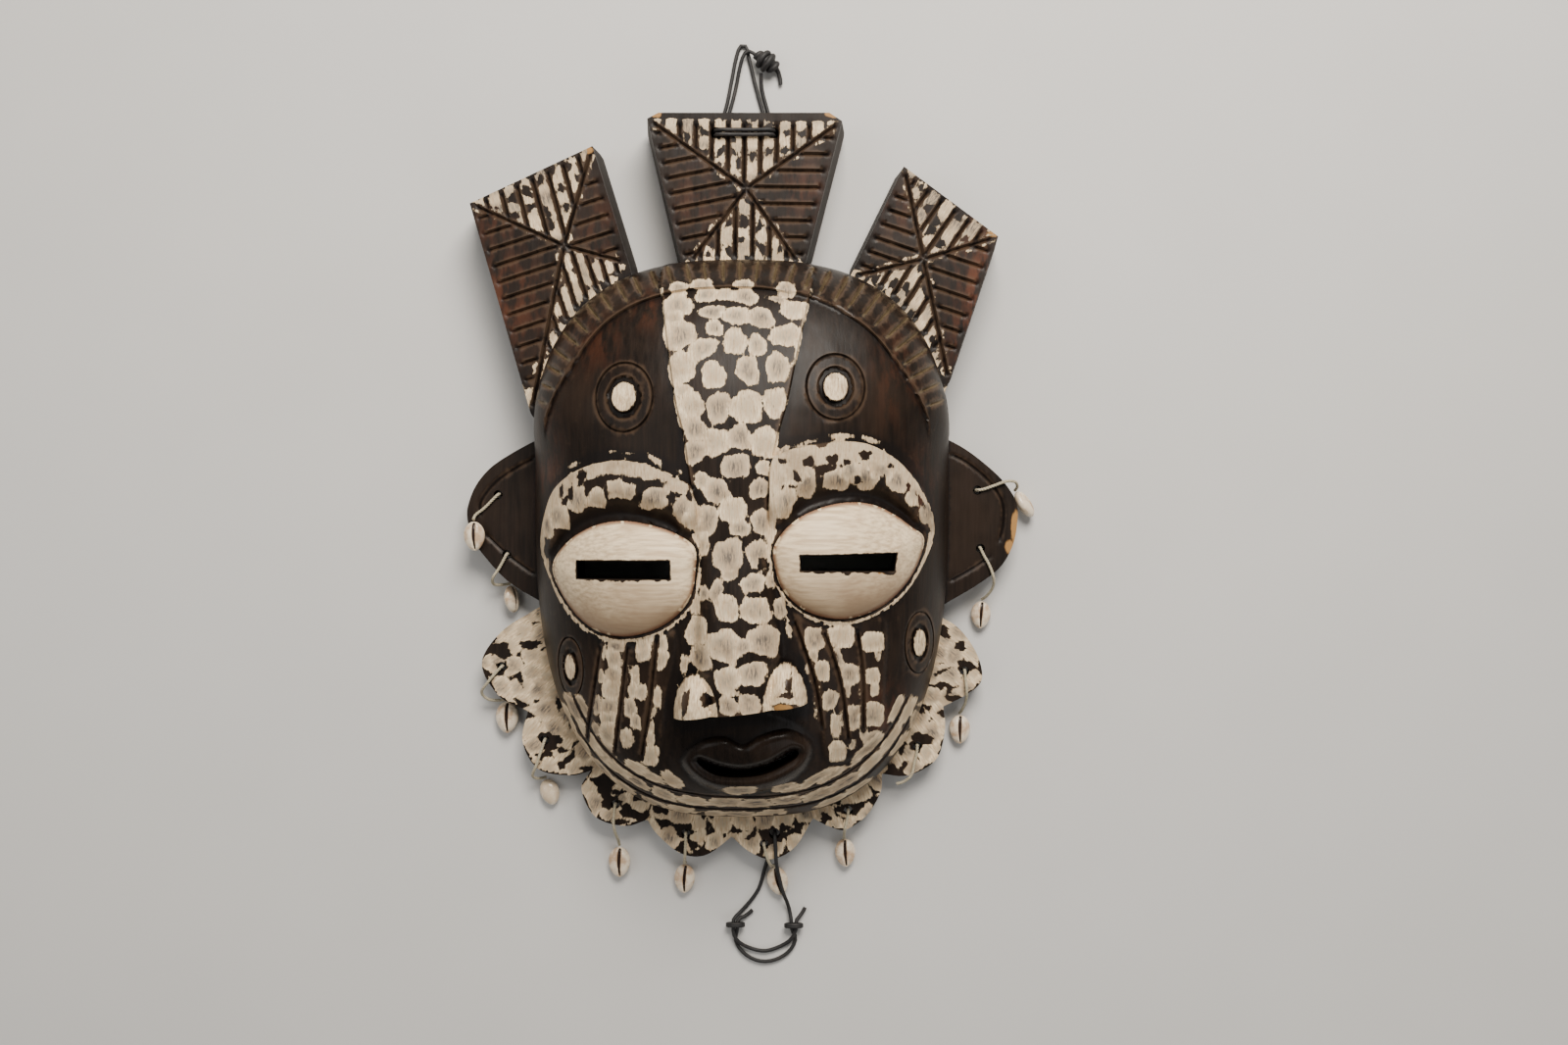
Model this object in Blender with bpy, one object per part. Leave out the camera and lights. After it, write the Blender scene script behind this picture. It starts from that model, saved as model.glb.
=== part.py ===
# A carved wooden face mask with a three-part crown, pierced ears and a lobed beard,
# lying on its back with the face up. Cowrie shells hang on strings from the ears and
# the beard, and a dark cord is knotted through the crown and another through the beard.
#
# +X is the mask's left-hand side as seen from the front of the picture (right of the
# view), +Y runs from the chin to the crown and +Z out of the face. The origin is the
# centre of the footprint, on the surface that the back rim rests on.
#
# The carving is drawn in millimetres on the mask's own face plane, at drawnHeight, and
# follows maskHeight. Walls, levels, holes, cords and shells have sizes of their own.

import math

import bmesh
import bpy
import numpy as np
from mathutils import Matrix, Vector
from mathutils.geometry import delaunay_2d_cdt
from mathutils.kdtree import KDTree

# Driving sizes, in metres
maskHeight = 0.4834  # crown top to the lowest beard lobe
faceDepth = 0.115  # back rim to the top of the plain dome, without nose and eyes
wallThickness = 0.015  # wood left between the dome and its hollow back
boardBack = 0.0072  # crown, ears and beard stand this far above the rim plane
crownFront = 0.042
earFront = 0.019
beardFront = 0.017
rimAboveEars = 0.004  # the dome's side stands this far proud of the ears
rimAboveCrown = 0.002
crownDraft = 0.003  # the crown's sides spread towards the back
stringHoleRadius = 0.003
cordHoleRadius = 0.0036
stringDiameter = 0.0020
cordDiameter = 0.0025
shellLength = 0.0190
shellWidth = 0.0136
shellThickness = 0.0092
gap = 0.0003  # between pieces that touch

# The drawing
drawnHeight = 483.4  # millimetres, crown top to lowest lobe
mm = maskHeight / drawnHeight

faceHalfWidth = 134.0
faceMiddle = -2.0
faceAbove = 146.0
faceBelow = 211.0
facePower = 2.75
rimShare = 0.996  # the dome starts to rise here
stepShare = 0.993  # the foot of the dome is this share of its outline
rimRise = (10.0, 55.0)  # between these heights the side grows from ear to crown level

# How finely the curves and the surfaces are cut into facets
lineStep = 13.0
ringStep = 19.0
fillStep = 28.0
stringHoleSides = 6
cordHoleSides = 8
sharpStep = 1.2  # width of a steep carved step

# Crown boards: corners clockwise from the top left, the crossing of the cuts, the four
# corners that the cross runs to, and how far the cuts of the top, right, bottom and left
# fields turn away from the board's own two directions, in degrees
crownBoards = {
    "left": dict(
        corners=[
            (-173.0, 181.0), (-95.0, 217.5), (-72.0, 143.0), (-66.0, 122.0), (-126.0, 36.0),
            (-134.0, 47.0),
        ],
        cross=(-113.0, 154.0),
        spread=(0, 1, 2, 5),
        lean=(-10.0, -7.0, -7.0, -7.0),
    ),
    "middle": dict(
        corners=[
            (-60.0, 235.0), (-53.0, 238.7), (56.0, 238.7), (64.0, 233.5), (39.5, 138.0),
            (-37.0, 138.0),
        ],
        cross=(3.0, 190.5),
        spread=(0, 3, 4, 5),
        lean=(0.0, 0.0, 0.0, 12.0),
    ),
    "right": dict(
        corners=[
            (103.5, 204.5), (163.5, 160.0), (132.0, 67.0), (120.0, 38.0), (62.0, 118.0),
            (69.0, 134.0),
        ],
        cross=(116.0, 145.5),
        spread=(0, 1, 2, 5),
        lean=(2.0, 18.0, 5.0, 18.0),
    ),
}
cutSpacing = 10.4
cutHalfWidth = 1.5
cutDepth = 2.0
cutMargin = 1.6

# Ears, from the top where they leave the dome to the bottom
earLeft = [
    (-125, 35), (-134, 31.5), (-150, 23), (-164, 13.5), (-173.5, 2), (-178.6, -11), (-179, -20),
    (-176, -32), (-168, -44), (-153, -60), (-134, -72), (-125, -76),
]
earRight = [
    (125, 36), (143, 27), (158, 16), (170.5, 4), (178.4, -9), (179, -22), (176, -37), (168, -51),
    (154, -62), (139, -71), (125, -79),
]
earGrooves = [
    [(-133, 21), (-149, 12.5), (-162, 3), (-170.5, -9), (-170, -19)],
    [(-168, -29), (-152, -44), (-134, -57)],
    [(134, 23), (146, 17), (160, 5.5), (169, -8), (170, -22), (167, -36)],
    [(163, -43), (150, -52), (134, -61)],
]

# Beard lobes, from the left ear round to the right one; neighbours share a sharp notch
beardLobes = [
    [(-126, -74), (-137, -80), (-158, -94), (-170, -114), (-159, -135), (-140, -145)],
    [(-140, -145), (-143.5, -165), (-133, -183), (-112, -187), (-99, -184)],
    [(-99, -184), (-105, -196), (-96, -214), (-77, -220), (-62, -216)],
    [(-62, -216), (-55, -226), (-40, -238), (-24, -239), (-7, -227)],
    [(-7, -227), (5, -237), (19, -241.7), (34, -234), (46, -215)],
    [(46, -215), (56, -220), (67, -222.5), (81, -213), (90, -198), (91, -186)],
    [(91, -186), (108, -187), (126, -177), (132, -158), (131, -142)],
    [(131, -142), (145, -135), (156, -125), (153, -108), (141, -91), (126, -82)],
]

# Holes for the strings, and the larger ones for the cords
earHoles = [(-159, -4), (-153.5, -43), (153, -1), (155, -39)]
beardHoles = [
    (-157, -116), (-129, -164), (-83, -206), (-37, -225), (14, -232), (69, -210), (114, -168),
    (145, -119),
]
chinCordHole = (21, -225)
crownCordHoles = [(-16, 226), (20, 226)]

# The headband: a raised strip round the top of the dome with gouged notches
bandInner = 0.838  # share of the dome where the band starts, above the forehead
bandNarrow = 0.070  # how much later it starts beside the ears
bandTilt = 0.035  # it is this much wider on the right
bandRaise = 2.6
bandFade = (26.0, 44.0)
notchCount = 31
notchHalfWidth = 1.9
notchDepth = 2.6

# The stripe down the forehead and the nose: height, left edge, right edge
stripe = [
    (124, -49, 45),
    (82, -43, 36),
    (50, -38, 29.5),
    (30, -33, 24),
    (10, -30, 20),
    (-10, -27, 18),
    (-28, -25, 18),
    (-46, -24, 21.5),
    (-66, -29, 27),
    (-84, -32, 31),
    (-108, -35.5, 36),
    (-126, -38, 41),
    (-145, -38, 43),
]
stripeRaise = 3.0
noseRise = 31.0
noseTop = -14.0
noseFoot = ((-42.0, -141.2), (43.5, -131.3))  # the line that the nose is cut off along
nostrils = [
    dict(at=(-25.5, -139.0), size=(14.2, 27.0), rise=26.0),
    dict(at=(28.0, -133.0), size=(13.6, 28.0), rise=26.5),
]

# Eyes: the ball's outline, the brow's outline round it, and the sight slot
eyes = {
    "left": dict(
        middle=(-69.0, -56.0),
        ball=[
            (-117, -50), (-106, -34), (-88, -24), (-70, -21), (-52, -23.5), (-36, -29),
            (-25.5, -37), (-25, -50), (-28, -66), (-38, -79), (-54, -88), (-73, -91), (-91, -86),
            (-107, -71),
        ],
        brow=[
            (-124, -46), (-126, -31), (-117, -4), (-101, 9), (-84, 14.5), (-68, 15.5), (-52, 12),
            (-38, 5), (-26.5, -3), (-22.5, -38), (-22.5, -52), (-25, -68), (-36, -82), (-53, -91),
            (-73, -94), (-93, -89), (-110, -73),
        ],
        slot=[(-98, -45), (-40, -44.5), (-40, -55.5), (-98, -56)],
    ),
    "right": dict(
        middle=(66.0, -46.0),
        ball=[
            (21, -36), (32, -22), (48, -13.5), (64, -10), (80, -11), (94, -17), (105, -24.5),
            (114, -32), (109, -49), (99, -63), (85, -74), (67, -80), (51, -79), (37, -73),
            (26, -62), (21.5, -49),
        ],
        brow=[
            (18, -34), (18.5, 11), (25, 19), (37, 23), (54, 26), (71, 26.5), (86, 22), (100, 13),
            (112, -2), (119, -16), (121.5, -29), (112, -50), (101.5, -65), (86.5, -76.5), (67, -83),
            (50, -82), (35, -75.5), (23.5, -63.5), (18.5, -50),
        ],
        slot=[(36.5, -41.5), (95, -40.5), (93.5, -51.5), (37, -50.5)],
    ),
}
ballRise = 17.0
browRise = 8.5
browGroove = 1.6

# Roundels on the forehead and the cheeks
roundels = [
    dict(at=(-69.0, 53.0), radii=(18.5, 22.0)),
    dict(at=(58.0, 59.0), radii=(18.5, 21.0)),
    dict(at=(-105.5, -112.0), radii=(9.5, 20.0)),
    dict(at=(111.5, -97.0), radii=(10.5, 20.5)),
]
roundelGroove = 1.4
roundelMoat = 2.2
roundelBoss = 1.6

# Scars down the cheeks: straight cuts on a raised panel
cheekPanels = [
    [
        (-83, -90), (-60, -97), (-37, -86), (-43, -130), (-51, -175), (-74, -180), (-95, -168),
        (-89, -130),
    ],
    [(31, -74), (52, -84), (88, -79), (90, -120), (89, -152), (74, -168), (52, -168), (46, -120)],
]
cheekCuts = [
    [(-67, -96), (-72, -130), (-78, -166)],
    [(-49, -91), (-54, -130), (-61, -168)],
    [(-84, -96), (-92, -135), (-97, -160)],
    [(51, -87), (61, -118), (67, -157)],
    [(71, -85), (75, -115), (76, -150)],
    [(33, -80), (45, -116), (51, -150)],
]
panelRaise = 1.2

# The mouth: a mound, the lips on it and the slit between them
mouthMound = dict(at=(3.0, -168.0), radii=(47.0, 31.0), rise=6.0)
lips = [
    (-36, -167), (-24, -154.5), (-9, -151.5), (2, -156.5), (13, -150.5), (29, -147), (42, -154),
    (44.5, -164), (36, -178), (18, -188), (1, -190.5), (-17, -188), (-30, -179),
]
slit = [
    (-25, -166.5), (-12, -171), (2, -173), (18, -169), (33, -160.5), (35, -165.5), (18, -175.5),
    (1, -178.5), (-15, -177), (-25, -170),
]
slitMiddle = np.array([3.0, -172.0])
lipRise = 5.0
lipRound = 7.0

# Rounds cut along the chin
chinCuts = [0.905, 0.953]
chinCutStart = -128.0


# Cowrie shells: place, turn from upright, roll about their length, size against the
# usual one, height of the lowest point, the hole of their string, and the string's
# bends on its way there, with heights in millimetres like the places
ear, lobe = earFront * 1000 + 1.7, beardFront * 1000 + 1.7
shells = {
    "ear_left_high": dict(
        at=(-173.6, -31.0), turn=3, roll=0, size=1.0, low=19.3, hole=(-159, -4),
        bends=[(-161.5, -6.5, ear), (-168, -13, ear), (-173.5, -17.5, ear + 1.0)],
    ),
    "ear_left_low": dict(
        at=(-152.0, -72.5), turn=8, roll=62, size=0.95, low=0.3, hole=(-153.5, -43),
        bends=[
            (-155.2, -46.5, ear), (-158.5, -52.5, ear + 0.3), (-162.3, -58.2, ear - 0.2),
            (-162.5, -62.6, 14.0), (-156.8, -62.9, 8.5),
        ],
    ),
    "ear_right_high": dict(
        at=(185.5, -10.0), turn=34, roll=70, size=1.02, low=0.3, hole=(153, -1),
        bends=[
            (156.7, -0.5, ear), (164, 2, ear + 0.3), (171.6, 4.6, ear + 0.4), (177.6, 4.4, 18.0),
            (180.0, 1.6, 12.5),
        ],
    ),
    "ear_right_low": dict(
        at=(157.0, -83.0), turn=-4, roll=0, size=0.95, low=0.3, hole=(155, -39),
        bends=[
            (156.6, -42.7, ear), (160.6, -50, ear + 0.3), (163.2, -57.5, ear + 0.3),
            (163.6, -64.2, 15.0), (159.8, -71.0, 8.0),
        ],
    ),
    "lobe_1": dict(
        at=(-155.5, -150.5), turn=0, roll=0, size=1.1, low=0.3, hole=(-157, -116),
        bends=[
            (-159.4, -118.4, lobe), (-166.2, -126.6, lobe + 0.5), (-170.6, -133.0, 15.0),
            (-167.6, -138.0, 9.8), (-160.8, -139.2, 7.2),
        ],
    ),
    "lobe_2": dict(
        at=(-127.5, -200.0), turn=17, roll=180, size=0.92, low=0.3, hole=(-129, -164),
        bends=[
            (-130, -167.3, lobe), (-134.2, -180.0, lobe + 0.6), (-137.2, -187.4, 15.5),
            (-134.6, -190.3, 9.5),
        ],
    ),
    "lobe_3": dict(
        at=(-81.5, -246.0), turn=0, roll=0, size=1.05, low=0.3, hole=(-83, -206),
        bends=[
            (-83.5, -209.7, lobe), (-84, -218.6, lobe + 0.5), (-82.9, -225.8, 15.0),
            (-81.8, -231, 9.0),
        ],
    ),
    "lobe_4": dict(
        at=(-38.5, -257.0), turn=-3, roll=0, size=1.0, low=0.3, hole=(-37, -225),
        bends=[
            (-37, -228.7, lobe), (-37.3, -237.2, lobe + 0.8), (-38, -243.4, 14.8),
            (-38.3, -245.8, 9.5),
        ],
    ),
    "lobe_5": dict(
        at=(23.0, -258.6), turn=15, roll=0, size=1.0, low=0.3, hole=(14, -232),
        bends=[
            (14.8, -235.4, lobe + 0.2), (16.4, -241.0, lobe + 0.8), (18.4, -246.4, 14.0),
            (19.8, -248.0, 9.0),
        ],
    ),
    "lobe_6": dict(
        at=(67.5, -240.0), turn=4, roll=0, size=0.98, low=0.3, hole=(69, -210),
        bends=[
            (68.5, -213.7, lobe), (66.8, -221.0, lobe + 0.9), (66.4, -226.8, 14.2),
            (66.5, -229.0, 9.5),
        ],
    ),
    "lobe_8": dict(
        at=(143.0, -158.5), turn=0, roll=0, size=1.0, low=0.3, hole=(145, -119),
        bends=[
            (145.2, -122.7, lobe), (146, -132.8, lobe + 0.7), (145.8, -139.5, 14.4),
            (144.2, -145.0, 9.0),
        ],
    ),
}
stub = dict(
    hole=(114, -168),
    bends=[
        (113.6, -171.5, lobe), (112, -178.5, lobe + 0.2), (109.8, -186.8, lobe + 0.4),
        (104.5, -191.5, 16.5), (100.5, -192.6, 16.0),
    ],
)
stringBack = 4.5  # how far each string's end lies inwards behind its board

# Cord through the crown: knot, down the left, behind, out of the left hole, across to
# the right one, back up to the loop's top, and the same way round once more
under, over = boardBack * 1000 - 1.6, crownFront * 1000 + 1.8
crownCord = [
    (9.2, 285.2, 5.6), (6.6, 287.6, 5.4), (3.6, 288.9, 5.0), (0.8, 287.0, 4.8), (-2.4, 277.0, 3.2),
    (-4.4, 267.0, 1.8), (-7.6, 254.0, 1.7), (-12.0, 240.0, 1.7), (-15.0, 231.5, 2.0),
    (-15.9, 227.2, 3.8),
    (-16.0, 227.5, 10.0), (-16.0, 227.5, 24.0), (-16.0, 227.5, over - 0.4),
    (-13.4, 227.5, over + 0.9), (-6.0, 227.5, over), (2.0, 227.5, over), (10.0, 227.5, over),
    (17.4, 227.5, over + 0.9),
    (20.0, 227.5, over - 0.4), (20.0, 227.5, 24.0), (20.0, 227.5, 10.0), (19.9, 227.2, 3.8),
    (19.0, 231.5, 2.0), (16.0, 240.0, 1.7), (11.8, 254.0, 1.7), (8.0, 268.0, 1.7),
    (4.4, 283.0, 1.7), (1.6, 293.2, 1.7),
    (-1.6, 293.2, 1.7), (-4.4, 286.0, 1.7), (-7.2, 272.0, 1.7), (-10.8, 254.0, 1.7),
    (-15.2, 240.0, 1.7), (-18.6, 230.0, 2.2), (-17.6, 225.6, 3.8), (-16.0, 224.5, 10.0),
    (-16.0, 224.5, 24.0),
    (-16.0, 224.5, over - 0.4), (-13.4, 224.5, over + 0.9), (-6.0, 224.5, over), (2.0, 224.5, over),
    (10.0, 224.5, over), (17.4, 224.5, over + 0.9), (20.0, 224.5, over - 0.4), (20.0, 224.5, 24.0),
    (20.0, 224.5, 10.0), (21.6, 225.6, 3.8), (22.6, 230.0, 2.2), (19.4, 240.0, 1.7),
    (15.2, 254.0, 1.7), (12.6, 264.0, 2.2), (12.0, 269.4, 3.6), (12.0, 274.4, 5.2),
]
crownKnot = [
    (9.5, 285.0, 5.8, 2.8), (11.2, 283.9, 6.4, 5.2), (13.6, 282.5, 6.8, 6.4), (16.4, 281.0, 6.8, 6.4),
    (19.2, 279.6, 6.2, 5.0), (21.4, 278.2, 4.6, 2.7), (23.4, 275.6, 2.4, 1.55), (24.6, 271.4, 1.9, 1.5),
    (24.9, 267.6, 1.8, 1.45),
]

# Cord through the beard: tail, the right knot, the inner arc, the left knot, up behind
# the lobe, through its hole, over the edge and the shell, the right knot again, the
# outer arc, the left knot again and the other tail
chinCord = [
    (41.1, -276.9, 1.7), (38.6, -281.0, 2.4), (35.2, -284.8, 4.7), (34.9, -288.0, 4.75),
    (34.8, -291.6, 4.9), (32.0, -297.0, 3.8), (26.5, -301.6, 1.7), (14.6, -305.6, 1.7),
    (4.6, -303.6, 1.9),
    (-2.0, -299.8, 3.6), (-5.4, -295.6, 4.9), (-6.4, -291.2, 4.8), (-6.4, -287.5, 4.75),
    (-6.2, -284.0, 4.3), (-1.6, -279.6, 1.8), (6.4, -270.6, 1.7), (11.0, -263.0, 1.7),
    (13.4, -254.5, 1.7), (16.2, -245.0, 1.8),
    (19.6, -233.0, 2.6), (20.8, -226.6, 4.4), (21.0, -225.0, 9.0), (21.0, -225.0, lobe - 0.8),
    (21.3, -228.8, lobe + 0.7), (21.7, -235.0, lobe + 0.5), (22.0, -243.0, lobe + 0.3),
    (22.8, -249.0, 14.4),
    (24.0, -255.0, 11.6), (25.6, -262.0, 10.7), (27.4, -267.8, 8.4), (29.1, -272.6, 4.8),
    (30.6, -278.0, 2.6), (31.8, -284.2, 4.3), (32.0, -288.0, 4.75), (32.3, -291.2, 4.1),
    (34.8, -296.8, 1.7), (32.0, -304.0, 1.7),
    (24.6, -310.0, 1.7), (14.6, -312.6, 1.7), (5.4, -310.4, 1.7), (-1.8, -304.6, 1.7),
    (-5.0, -298.0, 1.7), (-3.9, -291.6, 3.8), (-3.5, -287.5, 4.75), (-3.2, -284.0, 4.5),
    (1.4, -282.4, 2.0), (6.2, -278.6, 1.7),
]
chinKnots = {"left": (-4.95, -287.5, 4.9), "right": (33.5, -288.0, 4.9)}
knotReach = (5.3, 3.3)  # the knot's loop round two strands, across them and upwards


# Curves and tests on the face plane, all in drawing millimetres


def smooth(t):
    t = np.clip(t, 0.0, 1.0)
    return t * t * (3.0 - 2.0 * t)


def curve(points, step, closed=False):
    # a smooth line through the points, cut into pieces of about one step
    p = np.array(points, float)
    count = len(p)
    made = []
    for i in range(count if closed else count - 1):
        a, b = p[i], p[(i + 1) % count]
        before = p[i - 1] if closed or i > 0 else 2 * a - b
        after = p[(i + 2) % count] if closed or i + 2 < count else 2 * b - a
        pieces = max(1, round(float(np.linalg.norm(b - a)) / step))
        for k in range(pieces):
            t = k / pieces
            made.append(
                0.5 * (2 * a + (b - before) * t + (2 * before - 5 * a + 4 * b - after) * t**2)
                + 0.5 * (3 * a - before - 3 * b + after) * t**3
            )
    if not closed:
        made.append(p[-1])
    return np.array(made)


def straight(points, step, closed=False):
    # the same, with straight runs between the points
    p = [np.array(q, float) for q in points]
    made = []
    for a, b in zip(p, p[1:] + p[:1] if closed else p[1:]):
        pieces = max(1, round(float(np.linalg.norm(b - a)) / step))
        made += [a + (b - a) * k / pieces for k in range(pieces)]
    if not closed:
        made.append(p[-1])
    return np.array(made)


def isInside(outline, x, y):
    found = np.zeros(np.shape(x), bool)
    for (x0, y0), (x1, y1) in zip(outline, np.roll(outline, -1, axis=0)):
        crosses = (y0 > y) != (y1 > y)
        with np.errstate(divide="ignore", invalid="ignore"):
            at = x0 + (y - y0) / (y1 - y0) * (x1 - x0)
        found ^= crosses & (x < at)
    return found


def distance(line, x, y, closed=False):
    best = np.full(np.shape(x), 1e9)
    ends = np.roll(line, -1, axis=0) if closed else line[1:]
    for (x0, y0), (x1, y1) in zip(line, ends):
        dx, dy = x1 - x0, y1 - y0
        t = np.clip(((x - x0) * dx + (y - y0) * dy) / (dx * dx + dy * dy + 1e-12), 0, 1)
        best = np.minimum(best, np.hypot(x - x0 - t * dx, y - y0 - t * dy))
    return best


def polarShare(outline, middle, x, y):
    # how far out a point is, as a share of the outline's reach in its direction
    away = outline - np.array(middle)
    angles = np.arctan2(away[:, 1], away[:, 0])
    reach = np.hypot(away[:, 0], away[:, 1])
    order = np.argsort(angles)
    angles, reach = angles[order], reach[order]
    angles = np.concatenate([angles[-1:] - math.tau, angles, angles[:1] + math.tau])
    reach = np.concatenate([reach[-1:], reach, reach[:1]])
    dx, dy = x - middle[0], y - middle[1]
    far = np.interp(np.arctan2(dy, dx), angles, reach)
    return np.hypot(dx, dy) / far, far


# The dome


def domeShare(x, y):
    reach = np.where(y > faceMiddle, faceAbove, faceBelow)
    across = (np.abs(x) / faceHalfWidth) ** facePower
    return (across + (np.abs(y - faceMiddle) / reach) ** facePower) ** (1 / facePower)


def domeContour(share, step, fromAngle=0.0, toAngle=math.tau):
    # the line where the dome has that share, evenly spaced
    angles = np.linspace(fromAngle, toAngle, 721)
    c, s = np.cos(angles), np.sin(angles)
    x = share * faceHalfWidth * np.sign(c) * np.abs(c) ** (2 / facePower)
    reach = np.where(s > 0, faceAbove, faceBelow)
    y = faceMiddle + share * reach * np.sign(s) * np.abs(s) ** (2 / facePower)
    along = np.concatenate([[0], np.cumsum(np.hypot(np.diff(x), np.diff(y)))])
    closed = abs(toAngle - fromAngle - math.tau) < 1e-9
    count = max(3, round(along[-1] / step))
    at = np.linspace(0, along[-1], count + 1)[: count if closed else count + 1]
    return np.stack([np.interp(at, along, x), np.interp(at, along, y)], axis=1)


def rimLevel(y):
    low = (earFront + rimAboveEars) / mm
    high = (crownFront + rimAboveCrown) / mm
    return low + (high - low) * smooth((y - rimRise[0]) / (rimRise[1] - rimRise[0]))


def domeHeight(x, y):
    rim = rimLevel(y)
    share = domeShare(x, y) / rimShare
    return rim + (faceDepth / mm - rim) * np.sqrt(np.maximum(0, 1 - share**2))


def hollowShare(x, y):
    wall = wallThickness / mm
    reach = np.where(y > faceMiddle, faceAbove, faceBelow) - wall
    across = (np.abs(x) / (faceHalfWidth - wall)) ** facePower
    return (across + (np.abs(y - faceMiddle) / reach) ** facePower) ** (1 / facePower)


def hollowHeight(x, y):
    share = np.minimum(hollowShare(x, y), 1)
    return (faceDepth - wallThickness) / mm * np.sqrt(1 - share**2)


# Outlines of the boards round the dome


def boards():
    made = [(np.array(b["corners"], float), crownFront / mm) for b in crownBoards.values()]
    made += [(curve(ear, lineStep), earFront / mm) for ear in (earLeft, earRight)]
    beard = np.concatenate([curve(lobe, lineStep)[:-1] for lobe in beardLobes])
    made.append((np.vstack([beard, beardLobes[-1][-1]]), beardFront / mm))
    return made


def holeRings():
    # every opening that goes right through the wood
    rings = []
    kinds = [
        (earHoles + beardHoles, stringHoleRadius, stringHoleSides),
        (crownCordHoles + [chinCordHole], cordHoleRadius, cordHoleSides),
    ]
    for places, radius, sides in kinds:
        for x, y in places:
            turns = [math.tau * (k + 0.5) / sides for k in range(sides)]
            reach = radius / mm
            rings.append(np.array([(x + reach * math.cos(a), y + reach * math.sin(a)) for a in turns]))
    rings += [straight(eye["slot"], 2 * lineStep, True) for eye in eyes.values()]
    rings.append(curve(slit, lineStep, True))
    return rings


# Grooves: a line, half its width and its depth


def unit(v):
    return np.array(v) / max(float(np.hypot(*v)), 1e-9)


def turned(v, degrees):
    c, s = math.cos(math.radians(degrees)), math.sin(math.radians(degrees))
    return np.array([v[0] * c - v[1] * s, v[0] * s + v[1] * c])


def boardCuts(board):
    # the cross from corner to corner, and the straight cuts that fill its four fields
    corners = [np.array(board["corners"][i], float) for i in board["spread"]]
    cross = np.array(board["cross"], float)
    made = []
    for corner in corners:
        way = unit(cross - corner)
        start = corner + way * 4.0
        while domeShare(*start) < 1.012:
            start = start + way
        made.append(np.array([start, cross - way * 0.4]))
    across = unit(corners[1] - corners[0])
    along = np.array([-across[1], across[0]])
    fields = [(0, 1, along), (1, 2, across), (2, 3, -along), (3, 0, -across)]
    for (first, last, straightOut), lean in zip(fields, board["lean"]):
        out = turned(straightOut, lean)
        a, b = corners[first], corners[last]
        count = max(2, round(float(np.linalg.norm(b - a)) / cutSpacing))
        for k in range(1, count):
            start = a + (b - a) * k / count
            side = np.array([-out[1], out[0]])
            nearer = a if ((start - cross) @ side) * ((a - cross) @ side) > 0 else b
            reach = crossing(start, -out, cross, nearer)
            end = start - out * (reach - cutMargin)
            start = start - out * cutMargin
            while domeShare(*start) < 1.012 and (end - start) @ -out > 5.0:
                start = start - out
            if (end - start) @ -out > 5.0:
                made.append(np.array([start, end]))
    return made


def crossing(start, way, cross, corner):
    # how far from start, along way, the line from the corner to the crossing lies
    side = cross - corner
    det = way[0] * -side[1] + way[1] * side[0]
    if abs(det) < 1e-6:
        return 0.0
    off = corner - start
    return float((off[0] * -side[1] + off[1] * side[0]) / det)


def bandEdge(x, y):
    return bandInner + bandNarrow * smooth((85.0 - y) / 50.0) - bandTilt * smooth(x / 80.0)


def bandNotches():
    made = []
    outer = domeContour(0.985, 1.0, math.radians(14), math.radians(166))
    for k in range(notchCount):
        x, y = outer[round((k + 0.5) / notchCount * (len(outer) - 1))]
        inner = bandEdge(x, y) + 0.025
        share = float(domeShare(x, y))
        foot = np.array([x, faceMiddle + (y - faceMiddle)]) * 1.0
        centre = np.array([0.0, faceMiddle])
        head = centre + (foot - centre) * inner / share
        made.append(np.array([head, foot]))
    return made


def grooves():
    made = []
    for board in crownBoards.values():
        made += [(line, cutHalfWidth, cutDepth, "board") for line in boardCuts(board)]
    made += [(curve(line, lineStep), cutHalfWidth, 1.2, "board") for line in earGrooves]
    made += [(line, notchHalfWidth, notchDepth, "dome") for line in bandNotches()]
    made += [(curve(line, 2 * lineStep), cutHalfWidth, cutDepth, "dome") for line in cheekCuts]
    for share in chinCuts:
        arc = domeContour(share, 1.3 * ringStep, math.radians(208), math.radians(332))
        arc = arc[arc[:, 1] < chinCutStart - 300 * (share - chinCuts[0])]
        made.append((arc, 1.1, 1.5, "dome"))
    return made


def grooveLines(line, half):
    # the outline of a groove with pointed ends, and its bottom
    way = np.gradient(line, axis=0)
    way /= np.maximum(np.hypot(way[:, 0], way[:, 1])[:, None], 1e-9)
    side = np.stack([-way[:, 1], way[:, 0]], axis=1) * half
    start, end = line[0] + way[0] * 2 * half, line[-1] - way[-1] * 2 * half
    if len(line) == 2:
        middle = (line[0] + line[1]) / 2
        sides = [np.array([line[0], middle + w * side[0], line[1]]) for w in (1, -1)]
        return [np.array([start, end])] + sides
    bottom = np.vstack([start, line[1:-1], end])
    left = np.vstack([line[0], start + side[0], line[1:-1] + side[1:-1], end + side[-1], line[-1]])
    right = np.vstack([line[0], start - side[0], line[1:-1] - side[1:-1], end - side[-1], line[-1]])
    return [bottom, left, right]


def grooveDepth(line, half, depth, x, y):
    ends = np.minimum(np.hypot(x - line[0, 0], y - line[0, 1]), np.hypot(x - line[-1, 0], y - line[-1, 1]))
    taper = np.clip(ends / (2 * half), 0, 1)
    return depth * np.clip(1 - distance(line, x, y) / half, 0, 1) * taper


# Relief on the dome


def stripeSides(y):
    heights = [row[0] for row in stripe][::-1]
    left = np.interp(y, heights, [row[1] for row in stripe][::-1])
    right = np.interp(y, heights, [row[2] for row in stripe][::-1])
    return left, right


def noseFootAt(x):
    (x0, y0), (x1, y1) = noseFoot
    return y0 + (x - x0) * (y1 - y0) / (x1 - x0)


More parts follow.
